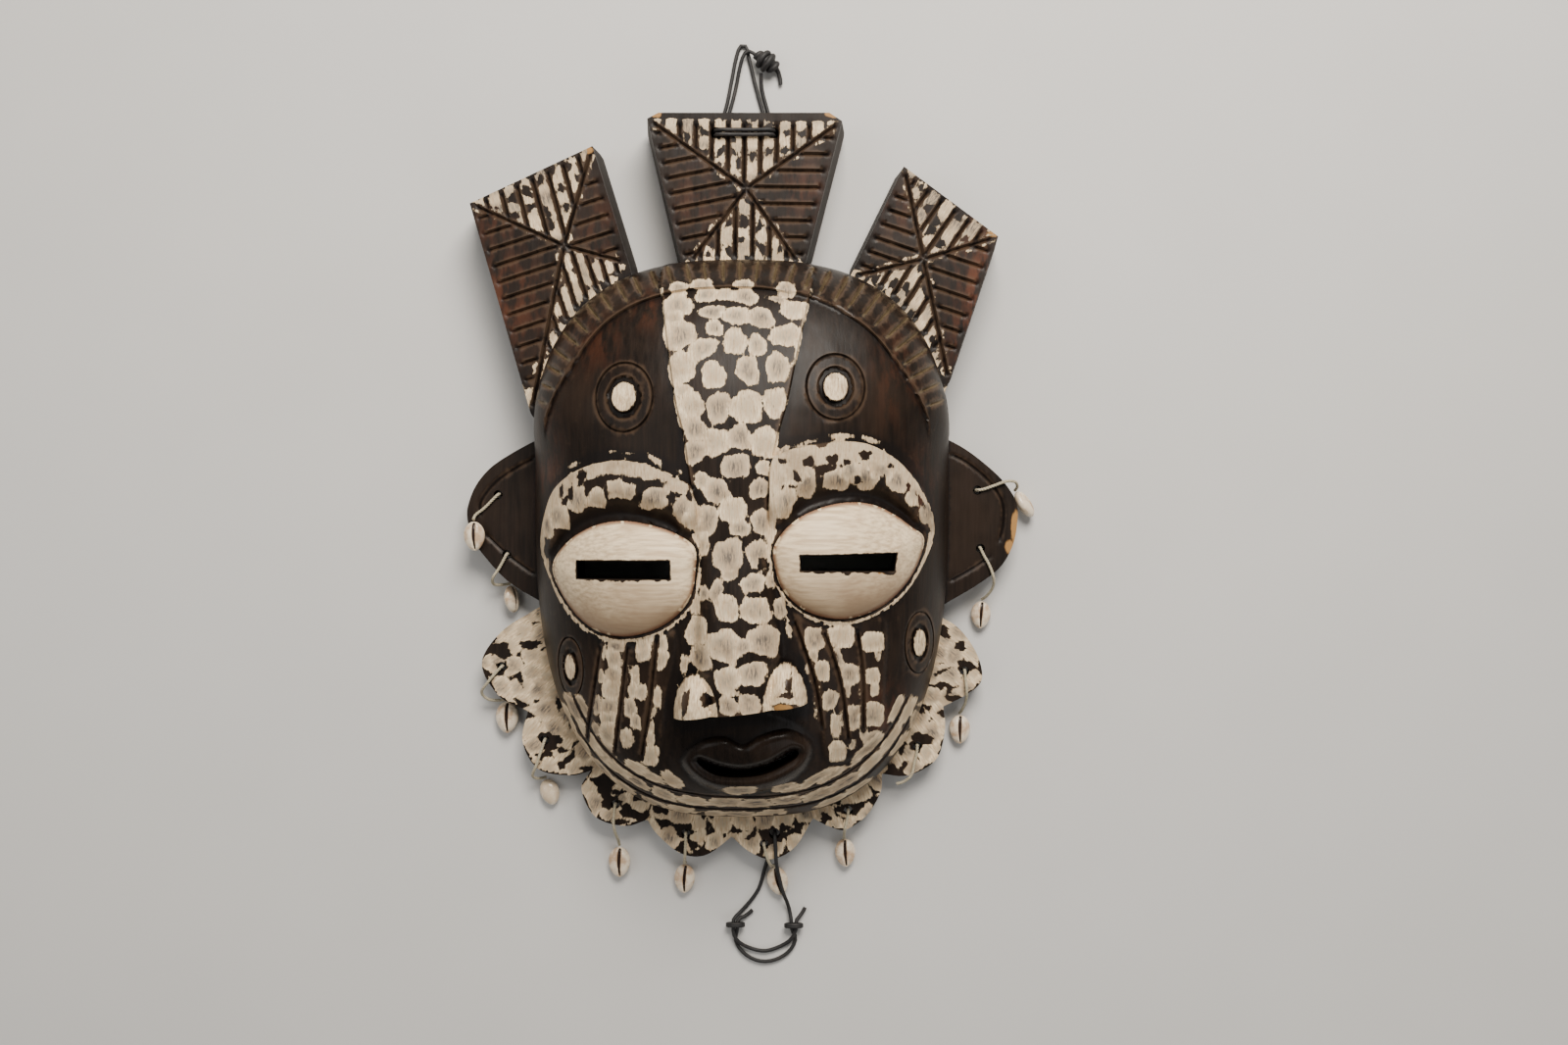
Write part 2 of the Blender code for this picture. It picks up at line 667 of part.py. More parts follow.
def noseRelief(x, y):
    left, right = stripeSides(y)
    middle, half = (left + right) / 2, (right - left) / 2
    across = np.abs(x - middle) / half
    edge = smooth((half - np.abs(x - middle)) / sharpStep)
    flat = stripeRaise * edge * smooth((y + 44) / 30)
    down = np.clip((noseTop - y) / (noseTop - noseFoot[0][1]), 0, 1.1)
    core = np.clip(across * (1 + 0.5 * down), 0, 1)
    ridge = noseRise * down**1.15 * np.clip(1 - core**2.3, 0, 1) ** 0.75
    made = flat + ridge
    for nostril in nostrils:
        (nx, ny), (rx, ry) = nostril["at"], nostril["size"]
        out = ((x - nx) / rx) ** 2 + ((y - ny) / ry) ** 2
        made = np.maximum(made, nostril["rise"] * np.sqrt(np.maximum(0, 1 - out)))
    cut = smooth((y - noseFootAt(x)) / sharpStep)
    return made * cut


def eyeRelief(eye, x, y):
    ball = curve(eye["ball"], 2.0, True)
    brow = curve(eye["brow"], 2.0, True)
    share, reach = polarShare(ball, eye["middle"], x, y)
    browShare, browReach = polarShare(brow, eye["middle"], x, y)
    bulge = ballRise * np.clip(1 - share**2, 0, 1) ** 0.62
    width = np.maximum(browReach - reach, 0.5)
    t = (share * reach - reach) / width
    rise = browRise * smooth((width - 6.0) / 16.0)
    climb = smooth((t - 0.10) / 0.42)
    step = smooth((1 - t) * width / sharpStep)
    hollow = -2.0 * smooth((width - 6.0) / 16.0) * (1 - smooth((t - 0.05) / 0.3))
    lid = 1.2 * np.clip(1 - np.abs(t * width - 1.6) / 1.6, 0, 1)
    brow = (hollow + rise * climb + lid) * step
    return np.where(share < 1, bulge, np.where(t < 1, brow, 0.0))


def roundelRelief(roundel, x, y):
    (cx, cy), (rx, ry) = roundel["at"], roundel["radii"]
    q = np.hypot((x - cx) / rx, (y - cy) / ry)
    groove = -roundelGroove * np.clip(1 - np.abs(q - 0.95) / 0.05, 0, 1)
    moat = -roundelMoat * smooth((0.62 - q) / 0.05) * smooth((q - 0.40) / 0.05)
    boss = roundelBoss * smooth((0.45 - q) / 0.06)
    return groove + moat + boss


def mouthRelief(x, y):
    (cx, cy), (rx, ry) = mouthMound["at"], mouthMound["radii"]
    out = ((x - cx) / rx) ** 2 + ((y - cy) / ry) ** 2
    mound = mouthMound["rise"] * np.clip(1 - out, 0, 1)
    outline = curve(lips, 2.0, True)
    deep = np.where(isInside(outline, x, y), distance(outline, x, y, True), 0.0)
    full = 1 - (1 - np.clip(deep / lipRound, 0, 1)) ** 2
    opening = curve(slit, 2.0, True)
    near = np.where(isInside(opening, x, y), 0.0, distance(opening, x, y, True))
    return mound + lipRise * full * (0.25 + 0.75 * smooth(near / 4.5))


def bandRelief(x, y):
    share = domeShare(x, y)
    inner = bandEdge(x, y)
    lift = smooth((share - inner) * faceHalfWidth / sharpStep)
    return bandRaise * lift * smooth((y - bandFade[0]) / (bandFade[1] - bandFade[0]))


def panelRelief(x, y):
    made = np.zeros(np.shape(x))
    for panel in cheekPanels:
        outline = curve(panel, 2.0, True)
        deep = np.where(isInside(outline, x, y), distance(outline, x, y, True), 0.0)
        made += panelRaise * smooth(deep / 3.0)
    return made


def boardLevel(x, y):
    # the boards' front where the dome hasn't started, and -1 elsewhere
    level = np.full(np.shape(x), -1.0)
    for outline, front in boards():
        on = isInside(outline, x, y) | (distance(outline, x, y, True) < 0.1)
        level = np.where(on, np.maximum(level, front), level)
    return np.where(domeShare(x, y) > 0.9985, level, -1.0)


def frontHeight(x, y):
    level = boardLevel(x, y)
    inNose = noseRelief(x, y)
    made = domeHeight(x, y) + bandRelief(x, y) + mouthRelief(x, y) + panelRelief(x, y)
    around = np.zeros(np.shape(x))
    for eye in eyes.values():
        part = eyeRelief(eye, x, y)
        around = np.where(np.abs(part) > np.abs(around), part, around)
    for roundel in roundels:
        around = around + roundelRelief(roundel, x, y)
    made = made + np.maximum(inNose, around) + np.minimum(around, 0) * (inNose < 0.5)
    deepDome, deepBoard = np.zeros(np.shape(x)), np.zeros(np.shape(x))
    for line, half, depth, where in grooves():
        cut = grooveDepth(line, half, depth, x, y)
        if where == "dome":
            deepDome = np.maximum(deepDome, cut)
        else:
            deepBoard = np.maximum(deepBoard, cut)
    return np.where(level > 0, level - deepBoard, made - deepDome)


def backHeight(x, y):
    on = domeShare(x, y) <= 1.002
    return np.where(on, np.where(hollowShare(x, y) < 1, hollowHeight(x, y), 0.0), boardBack / mm)


# The wood: a front sheet and a back sheet with the same edges, joined by walls


def outsideDome(line, limit=0.988):
    # the runs of a line that lie outside the dome, a little of the inside included
    fine = straight(line, 2.0)
    shown = domeShare(fine[:, 0], fine[:, 1]) > limit
    keep = [k for k, p in enumerate(fine) if np.min(np.hypot(*(line - p).T)) < 1e-6]
    runs, run = [], []
    for k, p in enumerate(fine):
        if shown[k] and (k in keep or not run or k + 1 == len(fine) or not shown[k + 1]):
            run.append(p)
        if run and not shown[k]:
            runs.append(np.array(run))
            run = []
    return [r for r in runs + [np.array(run)] if len(r) > 1]


def frontLines():
    made = [(line, True) for line in holeRings()]
    for outline, _ in boards():
        made += [(run, False) for run in outsideDome(np.vstack([outline, outline[:1]]))]
    for share in (1.0, stepShare):
        made.append((domeContour(share, ringStep), True))
    for line, half, _, _ in grooves():
        made += [(part, False) for part in grooveLines(line, half)]
    angles = (math.radians(12), math.radians(168))
    for off in (0.0, sharpStep / faceHalfWidth):
        ring = domeContour(1.0, ringStep, *angles)
        edge = bandEdge(ring[:, 0], ring[:, 1]) + off
        centre = np.array([0.0, faceMiddle])
        made.append((centre + (ring - centre) * edge[:, None], False))
    heights = [row[0] for row in stripe if row[0] > -60] + [-66]
    for side in (1, 2):
        rows = [row for row in stripe if row[0] in heights]
        inward = 1 if side == 1 else -1
        for off in (0.0, sharpStep):
            made.append((curve([(row[side] + inward * off, row[0]) for row in rows], lineStep), False))
        rest = [(row[side], row[0]) for row in stripe if row[0] <= -66][:-1]
        foot = noseFoot[side - 1]
        made.append((curve(rest + [(foot[0] + inward * 0.5, foot[1] + 0.2)], lineStep), False))
    (x0, y0), (x1, y1) = noseFoot
    middle = (x0 + x1) / 2
    made.append((np.array([(middle, noseFootAt(middle) - 0.4), (middle, noseFootAt(middle) + 12.0)]), False))
    for off in (0.0, sharpStep):
        made.append((np.array([(x0, y0 + off), (x1, y1 + off)]), False))
    for nostril in nostrils:
        made += [(nostrilLine(nostril, q, count), False) for q, count in ((1.0, 11), (0.88, 9), (0.5, 5))]
        cx, cy = nostril["at"]
        made.append((np.array([(cx, cy - 4.0), (cx, cy + 6.0)]), False))
    for eye in eyes.values():
        made.append((curve(eye["ball"], lineStep, True), True))
        middle = np.array(eye["middle"])
        ball = curve(eye["ball"], lineStep, True)
        made.append((middle + (ball - middle) * 0.94, True))
        brow = curve(eye["brow"], lineStep, True)
        made.append((brow, True))
        away = brow - middle
        far = np.hypot(away[:, 0], away[:, 1])[:, None]
        made.append((middle + away * (far - sharpStep) / far, True))
    for roundel in roundels:
        for q in (1.0, 0.95, 0.90, 0.53, 0.40):
            made.append((ellipse(roundel["at"], roundel["radii"], q), True))
    for q in (1.0, 0.7):
        made.append((slitMiddle + (curve(lips, lineStep, True) - slitMiddle) * q, True))
    return made


def ellipse(at, radii, q):
    around = math.pi * (radii[0] + radii[1]) * q
    count = max(9, round(around / lineStep))
    turns = np.arange(count) / count * math.tau
    return np.stack([at[0] + q * radii[0] * np.cos(turns), at[1] + q * radii[1] * np.sin(turns)], axis=1)


def nostrilLine(nostril, q, count):
    # an arch that stands on the nose's foot line
    (cx, cy), (rx, ry) = nostril["at"], nostril["size"]
    turns = np.radians(np.linspace(-6, 186, count))
    return np.stack([cx + q * rx * np.cos(turns), cy + q * ry * np.sin(turns)], axis=1)


def fillPoints(step, taken):
    # an even field of points inside the outline, clear of the lines
    xs = np.arange(-200, 200, step)
    ys = np.arange(-260, 260, step * math.sqrt(3) / 2)
    gx, gy = np.meshgrid(xs, ys)
    gx = gx + (np.arange(len(ys)) % 2)[:, None] * step / 2
    x, y = gx.ravel(), gy.ravel()
    keep = domeShare(x, y) < 0.985
    x, y = x[keep], y[keep]
    tree = KDTree(len(taken))
    for i, (px, py) in enumerate(taken):
        tree.insert((px, py, 0), i)
    tree.balance()
    return [(a, b) for a, b in zip(x, y) if tree.find((a, b, 0))[2] > 0.5 * step]


def extraPoints():
    # points where the form bends most: inside the rim, on the eyes and on the nose
    made = []
    for share in (0.972, 0.93):
        made += list(domeContour(share, 1.2 * ringStep))
    for eye in eyes.values():
        middle = np.array(eye["middle"])
        for q in (0.8, 0.5):
            made += list(middle + (curve(eye["ball"], 1.6 * lineStep, True) - middle) * q)
        away = curve(eye["brow"], 1.3 * lineStep, True) - middle
        ball = curve(eye["ball"], 1.0, True)
        _, reach = polarShare(ball, eye["middle"], *(away + middle).T)
        far = np.hypot(away[:, 0], away[:, 1])
        for t in (0.12, 0.45):
            wide = far - reach > 12
            made += list((middle + away * ((reach + (far - reach) * t) / far)[:, None])[wide])
    for y in range(-132, -20, 11):
        left, right = stripeSides(float(y))
        made += [(left + (right - left) * t, float(y)) for t in (0.2, 0.36, 0.5, 0.64, 0.8)]
    return made


def sheet(points, lines):
    # a flat net of triangles through the points that keeps every line
    verts, edges = [], []
    for line, closed in lines:
        first = len(verts)
        verts += [Vector((float(p[0]), float(p[1]))) for p in line]
        edges += [(first + k, first + k + 1) for k in range(len(line) - 1)]
        if closed:
            edges.append((len(verts) - 1, first))
    verts += [Vector((float(p[0]), float(p[1]))) for p in points]
    made, _, faces, _, _, _ = delaunay_2d_cdt(verts, edges, [], 0, 1e-4)
    return np.array([tuple(v) for v in made]), np.array([tuple(f) for f in faces])


def insideWood(x, y):
    found = domeShare(x, y) < 1
    for outline, _ in boards():
        found |= isInside(outline, x, y)
    for ring in holeRings():
        found &= ~isInside(ring, x, y)
    return found


def kept(flat, faces):
    middle = flat[faces].mean(axis=1)
    faces = faces[insideWood(middle[:, 0], middle[:, 1])]
    a, b, c = (flat[faces[:, i]] for i in range(3))
    area = (b[:, 0] - a[:, 0]) * (c[:, 1] - a[:, 1]) - (b[:, 1] - a[:, 1]) * (c[:, 0] - a[:, 0])
    faces = faces[np.abs(area) > 1e-7]
    return faces


def rimEdges(faces):
    # directed edges that only one triangle has, so those of the outline and the holes
    sides = np.vstack([faces[:, [0, 1]], faces[:, [1, 2]], faces[:, [2, 0]]])
    known = {(int(a), int(b)) for a, b in sides}
    return [(a, b) for a, b in known if (b, a) not in known]


def backLines():
    made = [(domeContour(1.012, ringStep), False), (domeContour(1.0, ringStep), False)]
    hollow = domeContour(1.0, 1.5 * ringStep)
    away = hollow - np.array([0.0, faceMiddle])
    share = hollowShare(hollow[:, 0], hollow[:, 1])[:, None]
    for q in (1.0, 0.985, 0.93, 0.8, 0.58, 0.3):
        made.append((np.array([0.0, faceMiddle]) + away / share * q, None if q < 1 else False))
    return made


def clearOf(points, starts, ends, room=1.5):
    # which points are in the wood and not close to its edge
    x, y = points[:, 0], points[:, 1]
    nearest = np.full(len(points), 1e9)
    for a, b in zip(starts, ends):
        nearest = np.minimum(nearest, distance(np.array([a, b]), x, y))
    return insideWood(x, y) & (nearest > room)


def carveMask():
    lines = frontLines()
    fixed = [p for line, _ in lines for p in line]
    extra = [p for p in extraPoints()]
    tree = KDTree(len(fixed))
    for i, p in enumerate(fixed):
        tree.insert((p[0], p[1], 0), i)
    tree.balance()
    extra = [p for p in extra if tree.find((p[0], p[1], 0))[2] > 2.6]
    points = extra + fillPoints(fillStep, fixed + extra)
    flat, faces = sheet(points, lines)
    faces = kept(flat, faces)
    used = np.unique(faces)
    flat, faces = flat[used], np.searchsorted(used, faces)
    rim = rimEdges(faces)

    # the back sheet keeps the front's edge points and has its own few points inside
    onRim = sorted({i for edge in rim for i in edge})
    place = {i: k for k, i in enumerate(onRim)}
    rimPoints = flat[onRim]
    verts = [Vector(map(float, p)) for p in rimPoints]
    edges = [(place[a], place[b]) for a, b in rim]
    starts, ends = flat[[a for a, _ in rim]], flat[[b for _, b in rim]]
    for line, closed in backLines():
        clear = clearOf(line, starts, ends)
        between = clearOf((line + np.roll(line, 1, axis=0)) / 2, starts, ends)
        last = None
        for p, ok, joined in zip(line, clear, between):
            if ok:
                verts.append(Vector(map(float, p)))
                if last is not None and joined and closed is not None:
                    edges.append((last, len(verts) - 1))
            last = len(verts) - 1 if ok else None
    made, _, backFaces, origins, _, _ = delaunay_2d_cdt(verts, edges, [], 0, 1e-4)
    back = np.array([tuple(v) for v in made])
    backFaces = kept(back, np.array([tuple(f) for f in backFaces]))
    toBack = {}
    for new, old in enumerate(origins):
        for k in old:
            if k < len(onRim):
                toBack[onRim[k]] = new

    frontZ = frontHeight(flat[:, 0], flat[:, 1])
    backZ = backHeight(back[:, 0], back[:, 1])
    spread = backSpread(flat, rim)

    mesh = bmesh.new()
    front = [mesh.verts.new((x * mm, y * mm, z * mm)) for (x, y), z in zip(flat, frontZ)]
    behind = [mesh.verts.new((x * mm, y * mm, z * mm)) for (x, y), z in zip(back, backZ)]
    for i, new in toBack.items():
        behind[new].co.x += spread.get(i, (0, 0))[0] * mm
        behind[new].co.y += spread.get(i, (0, 0))[1] * mm
    for a, b, c in faces:
        mesh.faces.new((front[a], front[b], front[c]))
    for a, b, c in backFaces:
        mesh.faces.new((behind[c], behind[b], behind[a]))
    for a, b in rim:
        mesh.faces.new((front[b], front[a], behind[toBack[a]]))
        mesh.faces.new((front[b], behind[toBack[a]], behind[toBack[b]]))
    loose = [v for v in mesh.verts if not v.link_faces]
    bmesh.ops.delete(mesh, geom=loose, context="VERTS")
    bmesh.ops.recalc_face_normals(mesh, faces=mesh.faces)
    return mesh


def backSpread(flat, rim):
    # how far each edge point of the crown moves outwards at the back
    after = {a: b for a, b in rim}
    before = {b: a for a, b in rim}
    moved = {}
    for i in after:
        x, y = flat[i]
        grownBoards = [grown(b["corners"], 0.5) for b in crownBoards.values()]
        if not any(isInside(g, np.array([x]), np.array([y]))[0] for g in grownBoards):
            continue
        if any(math.hypot(x - hx, y - hy) < 6 for hx, hy in crownCordHoles):
            continue
        share = float(smooth((domeShare(x, y) - 1.0) / 0.06))
        way = unit(flat[after[i]] - flat[i]) + unit(flat[i] - flat[before[i]])
        out = unit((way[1], -way[0]))
        along = unit(flat[after[i]] - flat[i])
        turn = max(0.5, abs(float(out @ np.array([along[1], -along[0]]))))
        moved[i] = out * crownDraft / mm * share / turn
    return moved


def grown(corners, by):
    p = np.array(corners, float)
    middle = p.mean(axis=0)
    away = p - middle
    return middle + away * (1 + by / np.hypot(away[:, 0], away[:, 1])[:, None])


# Shells, strings and cords


def shellMesh(shell):
    # a cowrie lying along its length, with a shallow furrow where it opens
    long, wide, thick = (shell["size"] * v / 2 for v in (shellLength, shellWidth, shellThickness))
    rows = [(-0.82, 0.58), (-0.28, 0.96), (0.32, 0.98), (0.84, 0.56)]
    turns = [-90, -35, 18, 66, 90, 114, 162, 215]
    mesh = bmesh.new()
    rings = []
    for along, reach in rows:
        ring = []
        for degrees in turns:
            a = math.radians(degrees)
            up = thick * reach * math.sin(a) * (0.62 if degrees == 90 else 0.84 if math.sin(a) > 0 else 1.0)
            ring.append(mesh.verts.new((wide * reach * math.cos(a), long * along, up)))
        rings.append(ring)
    for lower, upper in zip(rings, rings[1:]):
        for k in range(len(turns)):
            n = (k + 1) % len(turns)
            mesh.faces.new((lower[k], lower[n], upper[n], upper[k]))
    for ring, end in ((rings[0], -1), (rings[-1], 1)):
        tip = mesh.verts.new((0, long * end, 0))
        for k in range(len(turns)):
            n = (k + 1) % len(turns)
            mesh.faces.new((ring[n], ring[k], tip) if end < 0 else (ring[k], ring[n], tip))
    turn, roll = math.radians(shell["turn"]), math.radians(shell["roll"])
    way = Matrix.Rotation(turn, 4, "Z") @ Matrix.Rotation(roll, 4, "Y")
    bmesh.ops.transform(mesh, matrix=way, verts=mesh.verts)
    lowest = min(v.co.z for v in mesh.verts)
    x, y = shell["at"]
    bmesh.ops.translate(mesh, vec=(x * mm, y * mm, shell["low"] / 1000 - lowest), verts=mesh.verts)
    bmesh.ops.triangulate(mesh, faces=mesh.faces)
    bmesh.ops.recalc_face_normals(mesh, faces=mesh.faces)
    tips = [v.co.copy() for v in mesh.verts if len(v.link_edges) >= len(turns)]
    tips.sort(key=lambda co: (co - Vector((shell["hole"][0] * mm, shell["hole"][1] * mm, co.z))).length)
    return mesh, tips[0], tips[-1]


def stringRoute(hole, bends, front, end=None):
    # behind the board, up through the hole, along the bends and to the shell's end
    x, y = hole
    inward = unit((-x, faceMiddle - y))
    back = boardBack * 1000
    route = [(x + inward[0] * t, y + inward[1] * t, back - 2.2) for t in (stringBack, 1.2)]
    route += [(x, y, back + 2.0), (x, y, front + 1.0)]
    route = [Vector((px * mm, py * mm, pz / 1000)) for px, py, pz in route + bends]
    return route + ([end] if end else [])


def smoothRoute(route, diameter, spacing=2.9):
    # evenly spaced points on a smooth curve through the route's own points
    p = [Vector(q[:3]) for q in route]
    fine = []
    for i in range(len(p) - 1):
        a, b = p[i], p[i + 1]
        before = p[i - 1] if i > 0 else 2 * a - b
        after = p[i + 2] if i + 2 < len(p) else 2 * b - a
        spans = [(v - u).length ** 0.5 for u, v in ((before, a), (a, b), (b, after))]
        t0, t1 = 0.0, spans[0]
        t2 = t1 + spans[1]
        t3 = t2 + spans[2]
        for k in range(16):
            t = t1 + (t2 - t1) * k / 16
            u = before * ((t1 - t) / (t1 - t0)) + a * ((t - t0) / (t1 - t0))
            v = a * ((t2 - t) / (t2 - t1)) + b * ((t - t1) / (t2 - t1))
            w = b * ((t3 - t) / (t3 - t2)) + after * ((t - t2) / (t3 - t2))
            m = u * ((t2 - t) / (t2 - t0)) + v * ((t - t0) / (t2 - t0))
            n = v * ((t3 - t) / (t3 - t1)) + w * ((t - t1) / (t3 - t1))
            fine.append(m * ((t2 - t) / (t2 - t1)) + n * ((t - t1) / (t2 - t1)))
    fine.append(p[-1])
    along = np.concatenate([[0], np.cumsum([(b - a).length for a, b in zip(fine, fine[1:])])])
    count = max(4, math.ceil(along[-1] / (diameter * spacing)))
    at = np.linspace(0, along[-1], count + 1)
    values = np.array([tuple(q) for q in fine])
    return [Vector(np.array([np.interp(t, along, values[:, i]) for i in range(3)])) for t in at]


def tube(name, points, diameter, material, radii=None, closed=False, resolution=2):
    data = bpy.data.curves.new(name, "CURVE")
    data.dimensions = "3D"
    data.bevel_depth = diameter / 2
    data.bevel_resolution = resolution
    data.use_fill_caps = not closed
    data.twist_mode = "MINIMUM"
    spline = data.splines.new("POLY")
    spline.points.add(len(points) - 1)
    spline.use_cyclic_u = closed
    for point, co, radius in zip(spline.points, points, radii or [1.0] * len(points)):
        point.co = (*co, 1.0)
        point.radius = radius
    data.materials.append(material)
    made = bpy.data.objects.new(name, data)
    bpy.context.scene.collection.objects.link(made)
    return made


def inMetres(route):
    return [Vector((p[0] * mm, p[1] * mm, p[2] / 1000)) for p in route]


def hangShells(shellFinish, stringFinish):
    for name, shell in shells.items():
        mesh, near, far = shellMesh(shell)
        place("cowrie_" + name, mesh, shellFinish)
        front = (earFront if name.startswith("ear") else beardFront) * 1000
        out = (near - far).normalized()
        end = near + out * (stringDiameter / 2 + gap)
        route = stringRoute(shell["hole"], shell["bends"], front, end)
        tube("string_" + name, smoothRoute(route, stringDiameter), stringDiameter, stringFinish, resolution=1)
    route = stringRoute(stub["hole"], stub["bends"], beardFront * 1000)
    tube("string_lobe_7", smoothRoute(route, stringDiameter), stringDiameter, stringFinish, resolution=1)


def tieCords(finish):
    tube("crown_cord", smoothRoute(inMetres(crownCord), cordDiameter), cordDiameter, finish)
    radii = [p[3] * 2 / (cordDiameter * 1000) for p in crownKnot]
    tube("crown_knot", inMetres(crownKnot), cordDiameter, finish, radii)
    tube("chin_cord", smoothRoute(inMetres(chinCord), cordDiameter), cordDiameter, finish)
    for side, (x, y, z) in chinKnots.items():
        turns = [math.tau * k / 10 for k in range(10)]
        ring = [(x + knotReach[0] * math.cos(a), y, z + knotReach[1] * math.sin(a)) for a in turns]
        tube("chin_knot_" + side, inMetres(ring), cordDiameter, finish, closed=True, resolution=1)


# Materials and objects


def finish(name, colour, roughness, metallic=0.0):
    made = bpy.data.materials.new(name)
    made.use_nodes = True
    shader = made.node_tree.nodes["Principled BSDF"]
    shader.inputs["Base Color"].default_value = (*colour, 1.0)
    shader.inputs["Roughness"].default_value = roughness
    shader.inputs["Metallic"].default_value = metallic
    return made


def place(name, mesh, material, sharp=28.0):
    data = bpy.data.meshes.new(name)
    mesh.to_mesh(data)
    mesh.free()
    data.shade_smooth()
    data.set_sharp_from_angle(angle=math.radians(sharp))
    data.materials.append(material)
    made = bpy.data.objects.new(name, data)
    bpy.context.scene.collection.objects.link(made)
    return made


def main():
    for old in list(bpy.data.objects):
        bpy.data.objects.remove(old)
    wood = finish("dark stained wood", (0.055, 0.032, 0.022), 0.45)
    bone = finish("glossy shell", (0.78, 0.70, 0.58), 0.25)
    thread = finish("pale string", (0.55, 0.48, 0.36), 0.85)
    leather = finish("dark cord", (0.035, 0.028, 0.026), 0.6)
    place("mask", carveMask(), wood)
    hangShells(bone, thread)
    tieCords(leather)


main()
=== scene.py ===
import math
import random

import bmesh
import bpy
import numpy as np
from mathutils import Matrix, Vector, noise
from mathutils.geometry import delaunay_2d_cdt
from mathutils.kdtree import KDTree


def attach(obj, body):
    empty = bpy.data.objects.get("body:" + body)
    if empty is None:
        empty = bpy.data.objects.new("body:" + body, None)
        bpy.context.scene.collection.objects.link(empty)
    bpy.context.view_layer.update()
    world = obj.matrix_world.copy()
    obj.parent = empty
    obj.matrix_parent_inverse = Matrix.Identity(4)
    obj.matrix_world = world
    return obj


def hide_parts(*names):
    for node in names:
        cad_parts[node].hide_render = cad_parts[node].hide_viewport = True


# A carved, painted wooden face mask with cowrie shells and cords, lying on its back.
# Places are in millimetres on the face plane; the solids' sizes are in metres.

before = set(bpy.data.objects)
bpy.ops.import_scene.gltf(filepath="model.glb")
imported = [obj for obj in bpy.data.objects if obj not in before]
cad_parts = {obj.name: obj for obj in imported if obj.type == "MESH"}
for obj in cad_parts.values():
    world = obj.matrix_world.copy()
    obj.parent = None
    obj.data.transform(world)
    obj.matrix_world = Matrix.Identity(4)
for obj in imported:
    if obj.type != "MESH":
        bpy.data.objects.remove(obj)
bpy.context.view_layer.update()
print("frame loaded")


def inMetres(route):
    return [Vector((p[0] / 1000, p[1] / 1000, p[2] / 1000)) for p in route]


def link(made):
    bpy.context.scene.collection.objects.link(made)
    return made


def settle(piece, slotName, *nodes):
    # rides on the mask's only body and stands in for its CAD nodes
    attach(piece, "root")
    if nodes:
        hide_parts(*nodes)
    return piece


def setInputs(node, given):
    # a socket is linked, and anything else is the input's own value
    for key, item in given.items():
        if isinstance(item, bpy.types.NodeSocket):
            node.id_data.links.new(item, node.inputs[key])
        else:
            node.inputs[key].default_value = item


# Camera, light and floor

studio = dict(
    cameraAt=(0.0271, -0.0221, 1.05),
    lens=36.35,
    sensorWidth=36,
    lamps=[  # name, place, the point it faces, size, power and colour
        ("keyLight", (0.25, 0.95, 1.15), (0.0, 0.05, 0.05), 0.75, 40.0, (1.0, 0.94, 0.86)),
        ("fillLight", (-0.9, 0.1, 1.1), (0.0, 0.0, 0.05), 0.9, 4.0, (1.0, 0.985, 0.96)),
        ("lowLight", (0.75, -0.9, 1.0), (0.0, -0.05, 0.05), 0.9, 3.0, (1.0, 1.0, 1.0)),
    ],
    roomColour=(1.0, 0.985, 0.96),
    ambient=0.24,
    floorColour=(0.62, 0.61, 0.59),
    floorReach=4.0,
    floorDrop=0.0004,  # the floor lies this far under the back rim
)


def areaLight(name, at, towards, size, power, colour):
    data = bpy.data.lights.new(name, "AREA")
    data.energy = power
    data.size = size
    data.color = colour
    lamp = link(bpy.data.objects.new(name, data))
    lamp.location = at
    lamp.rotation_euler = (Vector(towards) - Vector(at)).to_track_quat("-Z", "Y").to_euler()


def setStudio():
    data = bpy.data.cameras.new("photoCamera")
    data.sensor_width = studio["sensorWidth"]
    data.lens = studio["lens"]
    camera = link(bpy.data.objects.new("photoCamera", data))
    camera.location = studio["cameraAt"]
    bpy.context.scene.camera = camera
    for lamp in studio["lamps"]:
        areaLight(*lamp)
    world = bpy.data.worlds.new("softRoom")
    world.use_nodes = True
    background = world.node_tree.nodes["Background"]
    setInputs(background, {"Color": (*studio["roomColour"], 1), "Strength": studio["ambient"]})
    bpy.context.scene.world = world


setStudio()
print("camera and lights set")


# Shader building, shared by all finishes


def newFinish(name):
    made = bpy.data.materials.new(name)
    made.use_nodes = True
    nodes = made.node_tree.nodes

    def add(kind, given=None, **settings):
        node = nodes.new("ShaderNode" + kind)
        for key, item in settings.items():
            setattr(node, key, item)
        setInputs(node, given or {})
        return node

    return made, add, nodes["Principled BSDF"]


def value(add, operation, a, b):
    return add("Math", {0: a, 1: b}, operation=operation).outputs[0]


def plus(add, a, b, amount):
    # a, and this amount of b
    return value(add, "ADD", a, value(add, "MULTIPLY", b, amount))


def blendColour(add, factor, a, b):
    a, b = (c if isinstance(c, bpy.types.NodeSocket) else (*c, 1.0) for c in (a, b))
    return add("Mix", {0: factor, 6: a, 7: b}, data_type="RGBA", blend_type="MIX").outputs[2]


def bumpOf(add, height, strength, depth):
    return add("Bump", {"Height": height, "Strength": strength, "Distance": depth}).outputs[0]


def between(add, source, low, high, toLow=0.0, toHigh=1.0):
    made = {"Value": source, "From Min": low, "From Max": high, "To Min": toLow, "To Max": toHigh}
    return add("MapRange", made, interpolation_type="SMOOTHSTEP").outputs[0]


def speckle(add, coordinates, stretch, scale=1.0, detail=3.0, roughness=0.55):
    moved = add("Mapping", {"Vector": coordinates, "Scale": stretch}).outputs[0]
    settings = {"Vector": moved, "Scale": scale, "Detail": detail, "Roughness": roughness}
    return add("TexNoise", settings).outputs[0]


def attribute(add, name, output="Fac"):
    return add("Attribute", attribute_name=name, attribute_type="GEOMETRY").outputs[output]


def objectPlace(add):
    return add("TexCoord").outputs["Object"]


